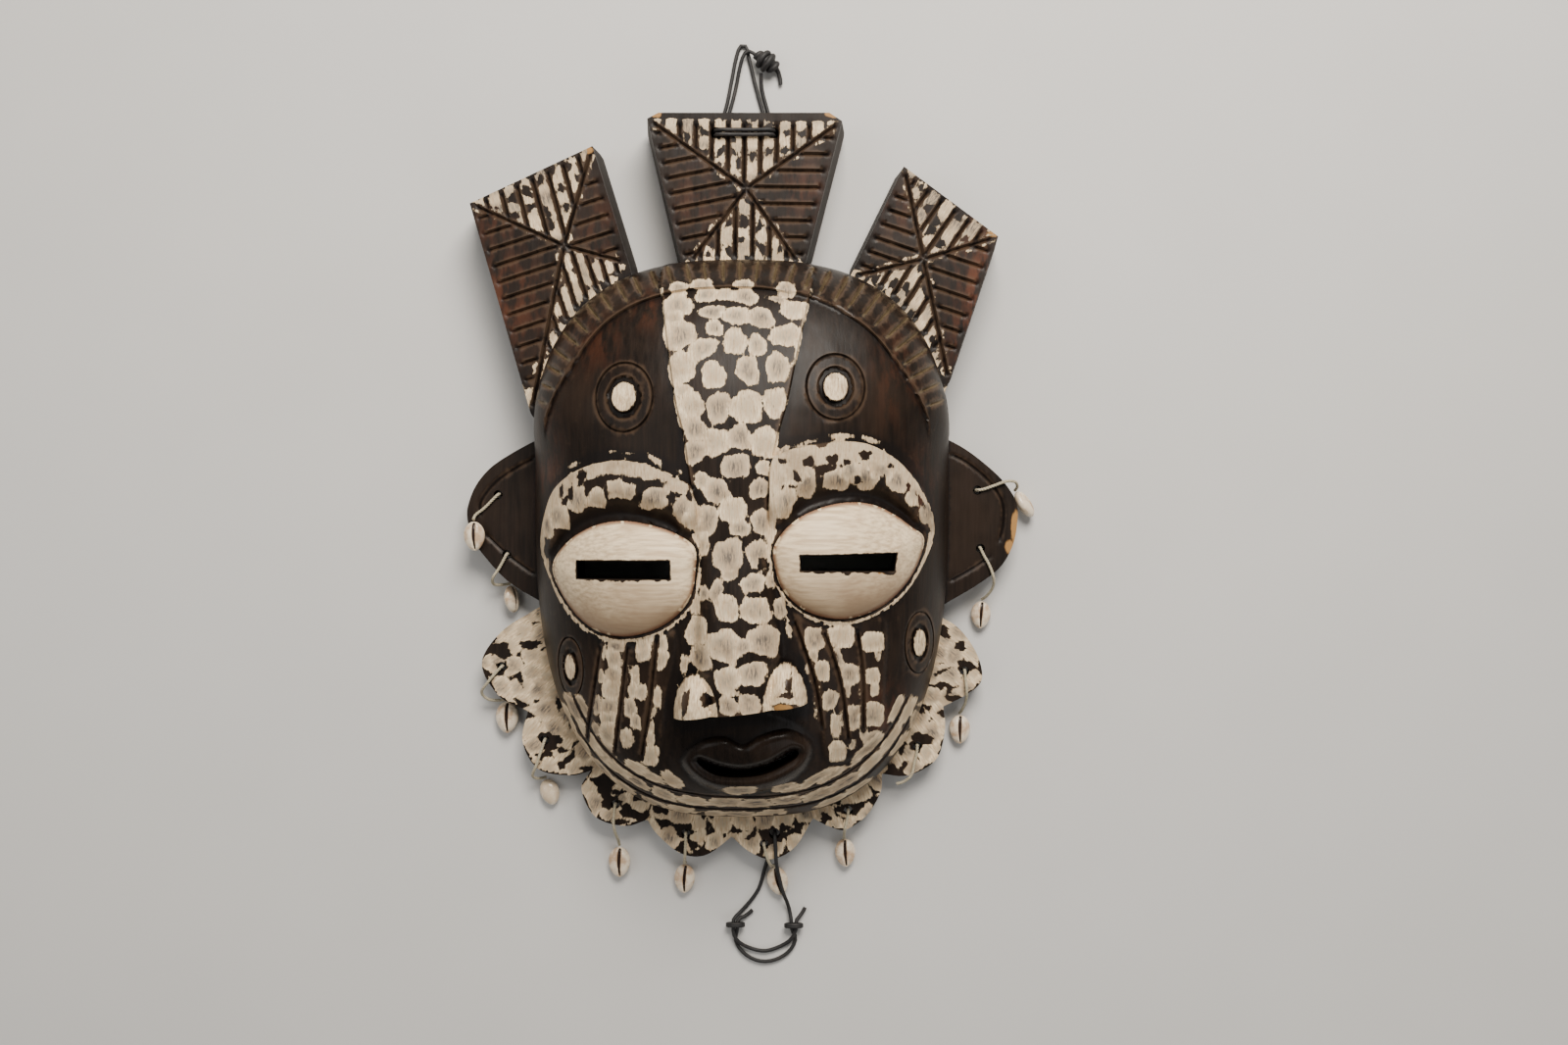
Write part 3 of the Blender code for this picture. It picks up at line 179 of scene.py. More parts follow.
def floorFinish():
    made, add, shader = newFinish("plain floor")
    soft = speckle(add, objectPlace(add), (9, 9, 9), detail=2)
    darker, lighter = (tuple(c * share for c in studio["floorColour"]) for share in (0.96, 1.03))
    setInputs(shader, {"Base Color": blendColour(add, soft, darker, lighter), "Roughness": 0.9})
    return made


def layFloor():
    mesh = bmesh.new()
    bmesh.ops.create_grid(mesh, x_segments=2, y_segments=2, size=studio["floorReach"])
    bmesh.ops.translate(mesh, vec=(0, 0, -studio["floorDrop"]), verts=mesh.verts)
    data = bpy.data.meshes.new("floor")
    mesh.to_mesh(data)
    mesh.free()
    data.materials.append(floorFinish())
    link(bpy.data.objects.new("floor", data))


layFloor()
print("floor laid")


# The solids' sizes, in metres. They follow the CAD, so they change there first
faceDepth = 0.115  # back rim to the top of the plain dome, without nose and eyes
wallThickness = 0.015  # wood left between the dome and its hollow back
boardBack = 0.0072  # crown, ears and beard stand this far above the rim plane
crownFront = 0.042
earFront = 0.019
beardFront = 0.017
rimAboveEars = 0.004  # the dome's side stands this far proud of the ears
rimAboveCrown = 0.002
crownDraft = 0.003  # the crown's sides spread towards the back
stringHoleRadius = 0.003
cordHoleRadius = 0.0036
stringDiameter = 0.0020
cordDiameter = 0.0025
shellLength = 0.0190
shellWidth = 0.0136
shellThickness = 0.0092
gap = 0.0003  # between pieces that touch
# The drawing, in millimetres
faceHalfWidth = 134.0
faceMiddle = -2.0
faceAbove = 146.0
faceBelow = 211.0
facePower = 2.75
rimShare = 0.996  # the dome starts to rise here
stepShare = 0.993  # the foot of the dome is this share of its outline
besideDome = 1.012  # cuts on the boards end at this share, clear of the dome's foot
rimRise = (10.0, 55.0)  # between these heights the side grows from ear to crown level

faceCentre = np.array([0.0, faceMiddle])

# How finely the net is made
fineStep = 1.6
fillStep = 1.85
outlineStep = 2.0  # for outlines that are only measured from
sharpStep = 1.2  # width of a steep carved step

# Crown boards: corners clockwise from the top left, the crossing of the cuts, the four
# corners that the cross runs to, and how far the cuts of the top, right, bottom and left
# fields turn away from the board's own two directions, in degrees
crownBoards = {
    "left": dict(
        corners=[
            (-173, 181), (-95, 217.5), (-72, 143), (-66, 122), (-126, 36), (-134, 47),
        ],
        cross=(-113, 154),
        spread=(0, 1, 2, 5),
        lean=(-10, -7, -7, -7),
    ),
    "middle": dict(
        corners=[
            (-60, 235), (-53, 238.7), (56, 238.7), (64, 233.5), (39.5, 138), (-37, 138),
        ],
        cross=(3, 190.5),
        spread=(0, 3, 4, 5),
        lean=(0, 0, 0, 12),
    ),
    "right": dict(
        corners=[
            (103.5, 204.5), (163.5, 160), (132, 67), (120, 38), (62, 118), (69, 134),
        ],
        cross=(116, 145.5),
        spread=(0, 1, 2, 5),
        lean=(2, 18, 5, 18),
    ),
}
cutSpacing = 10.4
cutHalfWidth = 1.5
cutDepth = 2.0
earCutDepth = 1.2
cutMargin = 1.6

# Ears, from the top where they leave the dome to the bottom
earLeft = [
    (-125, 35), (-134, 31.5), (-150, 23), (-164, 13.5), (-173.5, 2), (-178.6, -11), (-179, -20),
    (-176, -32), (-168, -44), (-153, -60), (-134, -72), (-125, -76),
]
earRight = [
    (125, 36), (143, 27), (158, 16), (170.5, 4), (178.4, -9), (179, -22), (176, -37), (168, -51),
    (154, -62), (139, -71), (125, -79),
]
earGrooves = [
    [(-133, 21), (-149, 12.5), (-162, 3), (-170.5, -9), (-170, -19)],
    [(-168, -29), (-152, -44), (-134, -57)],
    [(134, 23), (146, 17), (160, 5.5), (169, -8), (170, -22), (167, -36)],
    [(163, -43), (150, -52), (134, -61)],
]

# Beard lobes, from the left ear round to the right one; neighbours share a sharp notch
beardLobes = [
    [(-126, -74), (-137, -80), (-158, -94), (-170, -114), (-159, -135), (-140, -145)],
    [(-140, -145), (-143.5, -165), (-133, -183), (-112, -187), (-99, -184)],
    [(-99, -184), (-105, -196), (-96, -214), (-77, -220), (-62, -216)],
    [(-62, -216), (-55, -226), (-40, -238), (-24, -239), (-7, -227)],
    [(-7, -227), (5, -237), (19, -241.7), (34, -234), (46, -215)],
    [(46, -215), (56, -220), (67, -222.5), (81, -213), (90, -198), (91, -186)],
    [(91, -186), (108, -187), (126, -177), (132, -158), (131, -142)],
    [(131, -142), (145, -135), (156, -125), (153, -108), (141, -91), (126, -82)],
]

# Holes for the strings, and the larger ones for the cords
earHoles = [(-159, -4), (-153.5, -43), (153, -1), (155, -39)]
beardHoles = [
    (-157, -116), (-129, -164), (-83, -206), (-37, -225), (14, -232), (69, -210), (114, -168),
    (145, -119),
]
chinCordHole = (21, -225)
crownCordHoles = [(-16, 226), (20, 226)]

# The headband: a raised strip round the top of the dome with gouged notches
bandInner = 0.838  # share of the dome where the band starts, above the forehead
bandNarrow = 0.070  # how much later it starts beside the ears
bandTilt = 0.035  # it is this much wider on the right
bandRaise = 2.6
bandFade = (26.0, 44.0)
notchCount = 31
notchHalfWidth = 1.9
notchDepth = 2.6

# The stripe down the forehead and the nose: height, left edge, right edge
stripe = [
    (124, -49, 45), (82, -43, 36), (50, -38, 29.5), (30, -33, 24), (10, -30, 20), (-10, -27, 18),
    (-28, -25, 18), (-46, -24, 21.5), (-66, -29, 27), (-84, -32, 31), (-108, -35.5, 36),
    (-126, -38, 41), (-145, -38, 43),
]
stripeRaise = 3.0
noseRise = 31.0
noseTop = -14.0
noseFoot = ((-42.0, -141.2), (43.5, -131.3))  # the line that the nose is cut off along
nostrils = [
    dict(at=(-25.5, -139), radii=(14.2, 27), rise=26),
    dict(at=(28, -133), radii=(13.6, 28), rise=26.5),
]

# Eyes: the ball's outline, the brow's outline round it, and the sight slot
eyes = {
    "left": dict(
        middle=(-69.0, -56.0),
        ball=[
            (-117, -50), (-106, -34), (-88, -24), (-70, -21), (-52, -23.5), (-36, -29),
            (-25.5, -37), (-25, -50), (-28, -66), (-38, -79), (-54, -88), (-73, -91), (-91, -86),
            (-107, -71),
        ],
        brow=[
            (-124, -46), (-126, -31), (-117, -4), (-101, 9), (-84, 14.5), (-68, 15.5), (-52, 12),
            (-38, 5), (-26.5, -3), (-22.5, -38), (-22.5, -52), (-25, -68), (-36, -82), (-53, -91),
            (-73, -94), (-93, -89), (-110, -73),
        ],
        slot=[(-98, -45), (-40, -44.5), (-40, -55.5), (-98, -56)],
    ),
    "right": dict(
        middle=(66.0, -46.0),
        ball=[
            (21, -36), (32, -22), (48, -13.5), (64, -10), (80, -11), (94, -17), (105, -24.5),
            (114, -32), (109, -49), (99, -63), (85, -74), (67, -80), (51, -79), (37, -73),
            (26, -62), (21.5, -49),
        ],
        brow=[
            (18, -34), (18.5, 11), (25, 19), (37, 23), (54, 26), (71, 26.5), (86, 22), (100, 13),
            (112, -2), (119, -16), (121.5, -29), (112, -50), (101.5, -65), (86.5, -76.5), (67, -83),
            (50, -82), (35, -75.5), (23.5, -63.5), (18.5, -50),
        ],
        slot=[(36.5, -41.5), (95, -40.5), (93.5, -51.5), (37, -50.5)],
    ),
}
ballRise = 17.0
browRise = 8.5

# Roundels on the forehead and the cheeks
roundels = [
    dict(at=(-69, 53), radii=(18.5, 22)),
    dict(at=(58, 59), radii=(18.5, 21)),
    dict(at=(-105.5, -112), radii=(9.5, 20)),
    dict(at=(111.5, -97), radii=(10.5, 20.5)),
]
roundelGroove = 1.4
roundelMoat = 2.2
roundelBoss = 1.6
grooveAt, moatEdge, bossEdge = 0.95, 0.62, 0.45  # shares of a roundel's radii

# Scars down the cheeks: straight cuts on a raised panel
cheekPanels = [
    [
        (-83, -90), (-60, -97), (-37, -86), (-43, -130), (-51, -175), (-74, -180), (-95, -168),
        (-89, -130),
    ],
    [(31, -74), (52, -84), (88, -79), (90, -120), (89, -152), (74, -168), (52, -168), (46, -120)],
]
cheekCuts = [
    [(-67, -96), (-72, -130), (-78, -166)],
    [(-49, -91), (-54, -130), (-61, -168)],
    [(-84, -96), (-92, -135), (-97, -160)],
    [(51, -87), (61, -118), (67, -157)],
    [(71, -85), (75, -115), (76, -150)],
    [(33, -80), (45, -116), (51, -150)],
]
panelRaise = 1.2

# The mouth: a mound, the lips on it and the slit between them
mouthMound = dict(at=(3, -168), radii=(47, 31), rise=6)
lips = [
    (-36, -167), (-24, -154.5), (-9, -151.5), (2, -156.5), (13, -150.5), (29, -147), (42, -154),
    (44.5, -164), (36, -178), (18, -188), (1, -190.5), (-17, -188), (-30, -179),
]
slit = [
    (-25, -166.5), (-12, -171), (2, -173), (18, -169), (33, -160.5), (35, -165.5), (18, -175.5),
    (1, -178.5), (-15, -177), (-25, -170),
]
lipRise = 5.0
lipRound = 7.0

# Rounds cut along the chin
chinCuts = [0.905, 0.953]
chinCutStart = -128.0
chinCutHalfWidth = 1.1
chinCutDepth = 1.5

# Cowrie shells: place, what departs from the usual one (turn from upright, roll about
# the length, size, height of the lowest point), the hole of their string, and the
# string's bends on its way there, with heights in millimetres like the places
usualShell = dict(turn=0, roll=0, size=1, low=0.3)
ear, lobe = earFront * 1000 + 1.7, beardFront * 1000 + 1.7
shells = {
    "ear_left_high": dict(
        at=(-173.6, -31), turn=3, low=19.3, hole=(-159, -4),
        bends=[(-161.5, -6.5, ear), (-168, -13, ear), (-173.5, -17.5, ear + 1)],
    ),
    "ear_left_low": dict(
        at=(-152, -72.5), turn=8, roll=62, size=0.95, hole=(-153.5, -43),
        bends=[
            (-155.2, -46.5, ear), (-158.5, -52.5, ear + 0.3), (-162.3, -58.2, ear - 0.2),
            (-162.5, -62.6, 14), (-156.8, -62.9, 8.5),
        ],
    ),
    "ear_right_high": dict(
        at=(185.5, -10), turn=34, roll=70, size=1.02, hole=(153, -1),
        bends=[
            (156.7, -0.5, ear), (164, 2, ear + 0.3), (171.6, 4.6, ear + 0.4), (177.6, 4.4, 18),
            (180, 1.6, 12.5),
        ],
    ),
    "ear_right_low": dict(
        at=(157, -83), turn=-4, size=0.95, hole=(155, -39),
        bends=[
            (156.6, -42.7, ear), (160.6, -50, ear + 0.3), (163.2, -57.5, ear + 0.3),
            (163.6, -64.2, 15), (159.8, -71, 8),
        ],
    ),
    "lobe_1": dict(
        at=(-155.5, -150.5), size=1.1, hole=(-157, -116),
        bends=[
            (-159.4, -118.4, lobe), (-166.2, -126.6, lobe + 0.5), (-170.6, -133, 15),
            (-167.6, -138, 9.8), (-160.8, -139.2, 7.2),
        ],
    ),
    "lobe_2": dict(
        at=(-127.5, -200), turn=17, roll=180, size=0.92, hole=(-129, -164),
        bends=[
            (-130, -167.3, lobe), (-134.2, -180, lobe + 0.6), (-137.2, -187.4, 15.5),
            (-134.6, -190.3, 9.5),
        ],
    ),
    "lobe_3": dict(
        at=(-81.5, -246), size=1.05, hole=(-83, -206),
        bends=[
            (-83.5, -209.7, lobe), (-84, -218.6, lobe + 0.5), (-82.9, -225.8, 15), (-81.8, -231, 9),
        ],
    ),
    "lobe_4": dict(
        at=(-38.5, -257), turn=-3, hole=(-37, -225),
        bends=[
            (-37, -228.7, lobe), (-37.3, -237.2, lobe + 0.8), (-38, -243.4, 14.8),
            (-38.3, -245.8, 9.5),
        ],
    ),
    "lobe_5": dict(
        at=(23, -258.6), turn=15, hole=(14, -232),
        bends=[
            (14.8, -235.4, lobe + 0.2), (16.4, -241, lobe + 0.8), (18.4, -246.4, 14),
            (19.8, -248, 9),
        ],
    ),
    "lobe_6": dict(
        at=(67.5, -240), turn=4, size=0.98, hole=(69, -210),
        bends=[
            (68.5, -213.7, lobe), (66.8, -221, lobe + 0.9), (66.4, -226.8, 14.2), (66.5, -229, 9.5),
        ],
    ),
    "lobe_8": dict(
        at=(143, -158.5), hole=(145, -119),
        bends=[
            (145.2, -122.7, lobe), (146, -132.8, lobe + 0.7), (145.8, -139.5, 14.4),
            (144.2, -145, 9),
        ],
    ),
}
stub = dict(  # the bare string of the seventh lobe
    hole=(114, -168),
    bends=[
        (113.6, -171.5, lobe), (112, -178.5, lobe + 0.2), (109.8, -186.8, lobe + 0.4),
        (104.5, -191.5, 16.5), (100.5, -192.6, 16),
    ],
)
stringBack = 4.5  # how far each string's end lies inwards behind its board

# Cord through the crown: knot, down the left, behind, out of the left hole, across to
# the right one, back up to the loop's top, and the same way round once more
under, over = boardBack * 1000 - 1.6, crownFront * 1000 + 1.8
crownCord = [
    (9.2, 285.2, 5.6), (6.6, 287.6, 5.4), (3.6, 288.9, 5), (0.8, 287, 4.8), (-2.4, 277, 3.2),
    (-4.4, 267, 1.8), (-7.6, 254, 1.7), (-12, 240, 1.7), (-15, 231.5, 2), (-15.9, 227.2, 3.8),
    (-16, 227.5, 10), (-16, 227.5, 24), (-16, 227.5, over - 0.4), (-13.4, 227.5, over + 0.9),
    (-6, 227.5, over), (2, 227.5, over), (10, 227.5, over), (17.4, 227.5, over + 0.9),
    (20, 227.5, over - 0.4), (20, 227.5, 24), (20, 227.5, 10), (19.9, 227.2, 3.8), (19, 231.5, 2),
    (16, 240, 1.7), (11.8, 254, 1.7), (8, 268, 1.7), (4.4, 283, 1.7), (1.6, 293.2, 1.7),
    (-1.6, 293.2, 1.7), (-4.4, 286, 1.7), (-7.2, 272, 1.7), (-10.8, 254, 1.7), (-15.2, 240, 1.7),
    (-18.6, 230, 2.2), (-17.6, 225.6, 3.8), (-16, 224.5, 10), (-16, 224.5, 24),
    (-16, 224.5, over - 0.4), (-13.4, 224.5, over + 0.9), (-6, 224.5, over), (2, 224.5, over),
    (10, 224.5, over), (17.4, 224.5, over + 0.9), (20, 224.5, over - 0.4), (20, 224.5, 24),
    (20, 224.5, 10), (21.6, 225.6, 3.8), (22.6, 230, 2.2), (19.4, 240, 1.7), (15.2, 254, 1.7),
    (12.6, 264, 2.2), (12, 269.4, 3.6), (12, 274.4, 5.2),
]
crownKnot = [
    (9.5, 285, 5.8, 2.8), (11.2, 283.9, 6.4, 5.2), (13.6, 282.5, 6.8, 6.4), (16.4, 281, 6.8, 6.4),
    (19.2, 279.6, 6.2, 5), (21.4, 278.2, 4.6, 2.7), (23.4, 275.6, 2.4, 1.55),
    (24.6, 271.4, 1.9, 1.5), (24.9, 267.6, 1.8, 1.45),
]

# Cord through the beard: tail, the right knot, the inner arc, the left knot, up behind
# the lobe, through its hole, over the edge and the shell, the right knot again, the
# outer arc, the left knot again and the other tail
chinCord = [
    (41.1, -276.9, 1.7), (38.6, -281, 2.4), (35.2, -284.8, 4.7), (34.9, -288, 4.75),
    (34.8, -291.6, 4.9), (32, -297, 3.8), (26.5, -301.6, 1.7), (14.6, -305.6, 1.7),
    (4.6, -303.6, 1.9), (-2, -299.8, 3.6), (-5.4, -295.6, 4.9), (-6.4, -291.2, 4.8),
    (-6.4, -287.5, 4.75), (-6.2, -284, 4.3), (-1.6, -279.6, 1.8), (6.4, -270.6, 1.7),
    (11, -263, 1.7), (13.4, -254.5, 1.7), (16.2, -245, 1.8), (19.6, -233, 2.6), (20.8, -226.6, 4.4),
    (21, -225, 9), (21, -225, lobe - 0.8), (21.3, -228.8, lobe + 0.7), (21.7, -235, lobe + 0.5),
    (22, -243, lobe + 0.3), (22.8, -249, 14.4), (24, -255, 11.6), (25.6, -262, 10.7),
    (27.4, -267.8, 8.4), (29.1, -272.6, 4.8), (30.6, -278, 2.6), (31.8, -284.2, 4.3),
    (32, -288, 4.75), (32.3, -291.2, 4.1), (34.8, -296.8, 1.7), (32, -304, 1.7), (24.6, -310, 1.7),
    (14.6, -312.6, 1.7), (5.4, -310.4, 1.7), (-1.8, -304.6, 1.7), (-5, -298, 1.7),
    (-3.9, -291.6, 3.8), (-3.5, -287.5, 4.75), (-3.2, -284, 4.5), (1.4, -282.4, 2),
    (6.2, -278.6, 1.7),
]
chinKnots = {"left": (-4.95, -287.5, 4.9), "right": (33.5, -288.0, 4.9)}
knotReach = (5.3, 3.3)  # the knot's loop round two strands, across them and upwards


# Strings and cords, each on the route that the solids have


def smoothRoute(route, spacing):
    # evenly spaced points on a smooth curve through the route's own points
    p = [Vector(q[:3]) for q in route]
    fine = []
    for i in range(len(p) - 1):
        a, b = p[i], p[i + 1]
        before = p[i - 1] if i > 0 else 2 * a - b
        after = p[i + 2] if i + 2 < len(p) else 2 * b - a
        spans = [(v - u).length ** 0.5 for u, v in ((before, a), (a, b), (b, after))]
        t0, t1 = 0.0, spans[0]
        t2 = t1 + spans[1]
        t3 = t2 + spans[2]
        for k in range(16):
            t = t1 + (t2 - t1) * k / 16
            u = before * ((t1 - t) / (t1 - t0)) + a * ((t - t0) / (t1 - t0))
            v = a * ((t2 - t) / (t2 - t1)) + b * ((t - t1) / (t2 - t1))
            w = b * ((t3 - t) / (t3 - t2)) + after * ((t - t2) / (t3 - t2))
            m = u * ((t2 - t) / (t2 - t0)) + v * ((t - t0) / (t2 - t0))
            n = v * ((t3 - t) / (t3 - t1)) + w * ((t - t1) / (t3 - t1))
            fine.append(m * ((t2 - t) / (t2 - t1)) + n * ((t - t1) / (t2 - t1)))
    fine.append(p[-1])
    along = np.concatenate([[0], np.cumsum([(b - a).length for a, b in zip(fine, fine[1:])])])
    count = max(4, math.ceil(along[-1] / spacing))
    at = np.linspace(0, along[-1], count + 1)
    values = np.array([tuple(q) for q in fine])
    return [Vector([float(np.interp(t, along, values[:, i])) for i in range(3)]) for t in at]


def polyCurve(name, points, closed=False, dimensions="3D"):
    data = bpy.data.curves.new(name, "CURVE")
    data.dimensions = dimensions
    if dimensions == "3D":
        data.twist_mode = "MINIMUM"
        data.use_fill_caps = not closed
    spline = data.splines.new("POLY")
    spline.points.add(len(points) - 1)
    spline.use_cyclic_u = closed
    for point, co in zip(spline.points, points):
        point.co = (*co, 1.0)
    return data, spline


def roundCord(name, points, diameter, material, radii=None, closed=False):
    data, spline = polyCurve(name, points, closed)
    data.bevel_depth = diameter / 2
    data.bevel_resolution = 4
    for point, radius in zip(spline.points, radii or []):
        point.radius = radius
    data.materials.append(material)
    return link(bpy.data.objects.new(name, data))


twine = dict(
    plies=3,
    lay=0.0052,  # one turn of the plies
    groove=0.20,  # between the plies, as a share of the radius
    sides=18,
    step=0.0009,
    fibreTones=((0.30, 0.255, 0.165), (0.60, 0.53, 0.38)),
    dirtTone=(0.27, 0.24, 0.155),
)


def twistedString(name, points, diameter, material):
    # a grooved section swept along the route, turning as it goes
    outline = []
    for a in np.arange(twine["sides"]) / twine["sides"] * math.tau:
        swell = 1.25 * abs(math.cos(a * twine["plies"] / 2))
        reach = diameter / 2 * (1 - twine["groove"] + twine["groove"] * swell)
        outline.append((reach * math.cos(a), reach * math.sin(a), 0))
    section, _ = polyCurve("plySection", outline, True, "2D")
    sectionObject = bpy.data.objects.new("plySection", section)
    data, spline = polyCurve(name, points)
    data.bevel_mode = "OBJECT"
    data.bevel_object = sectionObject
    along = 0.0
    for i, point in enumerate(spline.points):
        along += (points[i] - points[i - 1]).length if i else 0.0
        point.tilt = along / twine["lay"] * math.tau
    swept = link(bpy.data.objects.new(name + "Curve", data))
    bpy.context.view_layer.update()
    graph = bpy.context.evaluated_depsgraph_get()
    solid = bpy.data.meshes.new_from_object(swept.evaluated_get(graph))
    solid.name = name
    bpy.data.objects.remove(swept)
    bpy.data.objects.remove(sectionObject)
    mesh = bmesh.new()
    mesh.from_mesh(solid)
    bmesh.ops.remove_doubles(mesh, verts=mesh.verts, dist=0.00001)
    bmesh.ops.recalc_face_normals(mesh, faces=mesh.faces)
    mesh.to_mesh(solid)
    mesh.free()
    solid.materials.clear()
    solid.materials.append(material)
    solid.shade_smooth()
    solid.set_sharp_from_angle(angle=math.radians(60))
    return link(bpy.data.objects.new(name, solid))


def stringFinish():
    made, add, shader = newFinish("pale twisted string")
    place = objectPlace(add)
    fibre = speckle(add, place, (1500, 900, 1500), detail=4, roughness=0.7)
    dirt = speckle(add, place, (60, 60, 60), detail=3)
    pale = blendColour(add, between(add, fibre, 0.3, 0.7), *twine["fibreTones"])
    pale = blendColour(add, between(add, dirt, 0.45, 0.7, 0.0, 0.45), pale, twine["dirtTone"])
    bump = bumpOf(add, fibre, 0.6, 0.0003)
    setInputs(shader, {"Base Color": pale, "Roughness": 0.85, "Sheen Weight": 0.15, "Normal": bump})
    return made


blackCord = dict(
    step=0.0033,
    # black, and a lighter tone that is a painted sheen
    blackAndSheenTones=((0.006, 0.0055, 0.006), (0.018, 0.016, 0.016)),
    wornTone=(0.040, 0.032, 0.028),
    knotTurns=3.6,
    wrapDiameter=0.0038,
    ringSides=20,
    ringThickness=0.9,  # of the sliding knots' rings, as a share of the cord's
)


def cordFinish():
    made, add, shader = newFinish("black waxed cord")
    place = objectPlace(add)
    crease = speckle(add, place, (700, 700, 700), detail=4, roughness=0.65)
    worn = speckle(add, place, (120, 120, 120), detail=3)
    # painted sheen: the lighter tone where the crease noise is high
    dark = blendColour(add, between(add, crease, 0.35, 0.7), *blackCord["blackAndSheenTones"])
    dark = blendColour(add, between(add, worn, 0.52, 0.7, 0.0, 0.4), dark, blackCord["wornTone"])
    rough = plus(add, 0.46, crease, 0.3)
    bump = bumpOf(add, crease, 0.5, 0.0003)
    setInputs(shader, {"Base Color": dark, "Roughness": rough, "Normal": bump})
    return made


# Cowrie shells

cowrie = dict(
    slitWidth=0.15,  # this and the depths are shares of half the shell's size
    slitDepth=0.50,
    teeth=12,
    toothDepth=0.07,
    flat=0.80,
    glossTones=((0.80, 0.68, 0.52), (0.50, 0.34, 0.21)),
    backTone=(0.66, 0.52, 0.36),
    bleachedTone=(0.84, 0.80, 0.72),
    # painted shade, near black, in the opening's slit and between its teeth
    slitShadeTone=(0.030, 0.015, 0.010),
)


def shellFinish():
    made, add, shader = newFinish("glossy cowrie")
    place = objectPlace(add)
    opening, back = attribute(add, "opening"), attribute(add, "shellBack")
    mottle = speckle(add, place, (150, 150, 150), detail=3)
    fine = speckle(add, place, (900, 900, 900), detail=3)
    tone = blendColour(add, between(add, mottle, 0.38, 0.66), *cowrie["glossTones"])
    browned = value(add, "MULTIPLY", back, between(add, mottle, 0.3, 0.6))
    tone = blendColour(add, browned, tone, cowrie["backTone"])
    tone = blendColour(add, between(add, fine, 0.55, 0.7, 0.0, 0.25), tone, cowrie["bleachedTone"])
    # painted shade in the opening's slit and between its teeth
    tone = blendColour(add, between(add, opening, 0.35, 0.85), tone, cowrie["slitShadeTone"])
    rough = plus(add, 0.18, fine, 0.15)
    setInputs(shader, {
        "Base Color": tone, "Roughness": rough, "Coat Weight": 0.35, "Coat Roughness": 0.12,
    })
    return made


def shellWay(shell):
    rolled = Matrix.Rotation(math.radians(shell["roll"]), 4, "Y")
    return Matrix.Rotation(math.radians(shell["turn"]), 4, "Z") @ rolled


def cowriePiece(name, shell, material):
    # an egg with a flattened front and a toothed opening along it
    long, wide, thick = (shell["size"] * v / 2 for v in (shellLength, shellWidth, shellThickness))
    mesh = bmesh.new()
    bmesh.ops.create_uvsphere(mesh, u_segments=72, v_segments=44, radius=1.0)
    lengthwise = Matrix.Rotation(math.radians(-90), 3, "X")
    bmesh.ops.rotate(mesh, cent=(0, 0, 0), matrix=lengthwise, verts=mesh.verts)
    slitShade, backness = [], []
    for v in mesh.verts:
        x, y, z = v.co
        turn = math.atan2(z, x)
        off = (turn - math.pi / 2 + math.pi) % math.tau - math.pi  # angle from the opening
        off = off * (0.42 + 0.58 * min(1.0, abs(off) / math.pi) ** 0.6)  # more net by the opening
        reach = math.hypot(x, z)
        x, z = reach * math.sin(-off), reach * math.cos(off)
        egg = 1 + 0.10 * y - 0.10 * y * y
        slitHalf = cowrie["slitWidth"] * (1.15 - 0.5 * abs(y)) * (1 + 0.25 * y)
        centre = 0.10 * y * y - 0.02
        near = abs(x - centre) / slitHalf
        inSlit = z > 0 and abs(y) < 0.93
        fade = min(1.0, max(0.0, (0.95 - abs(y)) / 0.12))
        drop = 0.0
        if inSlit and near < 1:
            drop = cowrie["slitDepth"] * max(0.0, 1 - near**2) ** 0.7 * fade
        tooth = 0.0
        if inSlit and 0.8 < near < 4.0:
            comb = 0.5 + 0.5 * math.cos(y * cowrie["teeth"] * math.pi)
            tooth = cowrie["toothDepth"] * fade * comb * (1 - abs(near - 1.9) / 2.2)
        height = z * (cowrie["flat"] if z > 0 else 1.0)
        lip = 0.10 * math.exp(-((near - 2.0) / 1.6) ** 2) * fade if z > 0 else 0.0
        groove = -0.10 * math.exp(-((x - centre) / 0.16) ** 2) * fade if z > 0 else 0.0
        height += (lip + groove - max(0.0, tooth)) * (1 if z > 0 else 0) - drop
        v.co = (wide * x * egg, long * y, thick * height)
        # how much painted shade the slit and the gaps between the teeth get
        slitShade.append(min(1.0, drop / cowrie["slitDepth"] * 1.6 + 4.0 * max(0.0, tooth)))
        backness.append(1.0 if z < -0.1 else 0.0)
    way = shellWay(shell)
    bmesh.ops.transform(mesh, matrix=way, verts=mesh.verts)
    lowest = min(v.co.z for v in mesh.verts)
    x, y = shell["at"]
    at = (x / 1000, y / 1000, shell["low"] / 1000 - lowest)
    bmesh.ops.translate(mesh, vec=at, verts=mesh.verts)
    bmesh.ops.recalc_face_normals(mesh, faces=mesh.faces)
    data = bpy.data.meshes.new(name)
    mesh.to_mesh(data)
    mesh.free()
    for title, values in (("opening", slitShade), ("shellBack", backness)):
        layer = data.attributes.new(title, "FLOAT", "POINT")
        layer.data.foreach_set("value", np.array(values, np.float32))
    data.shade_smooth()
    data.materials.append(material)
    return link(bpy.data.objects.new(name, data))


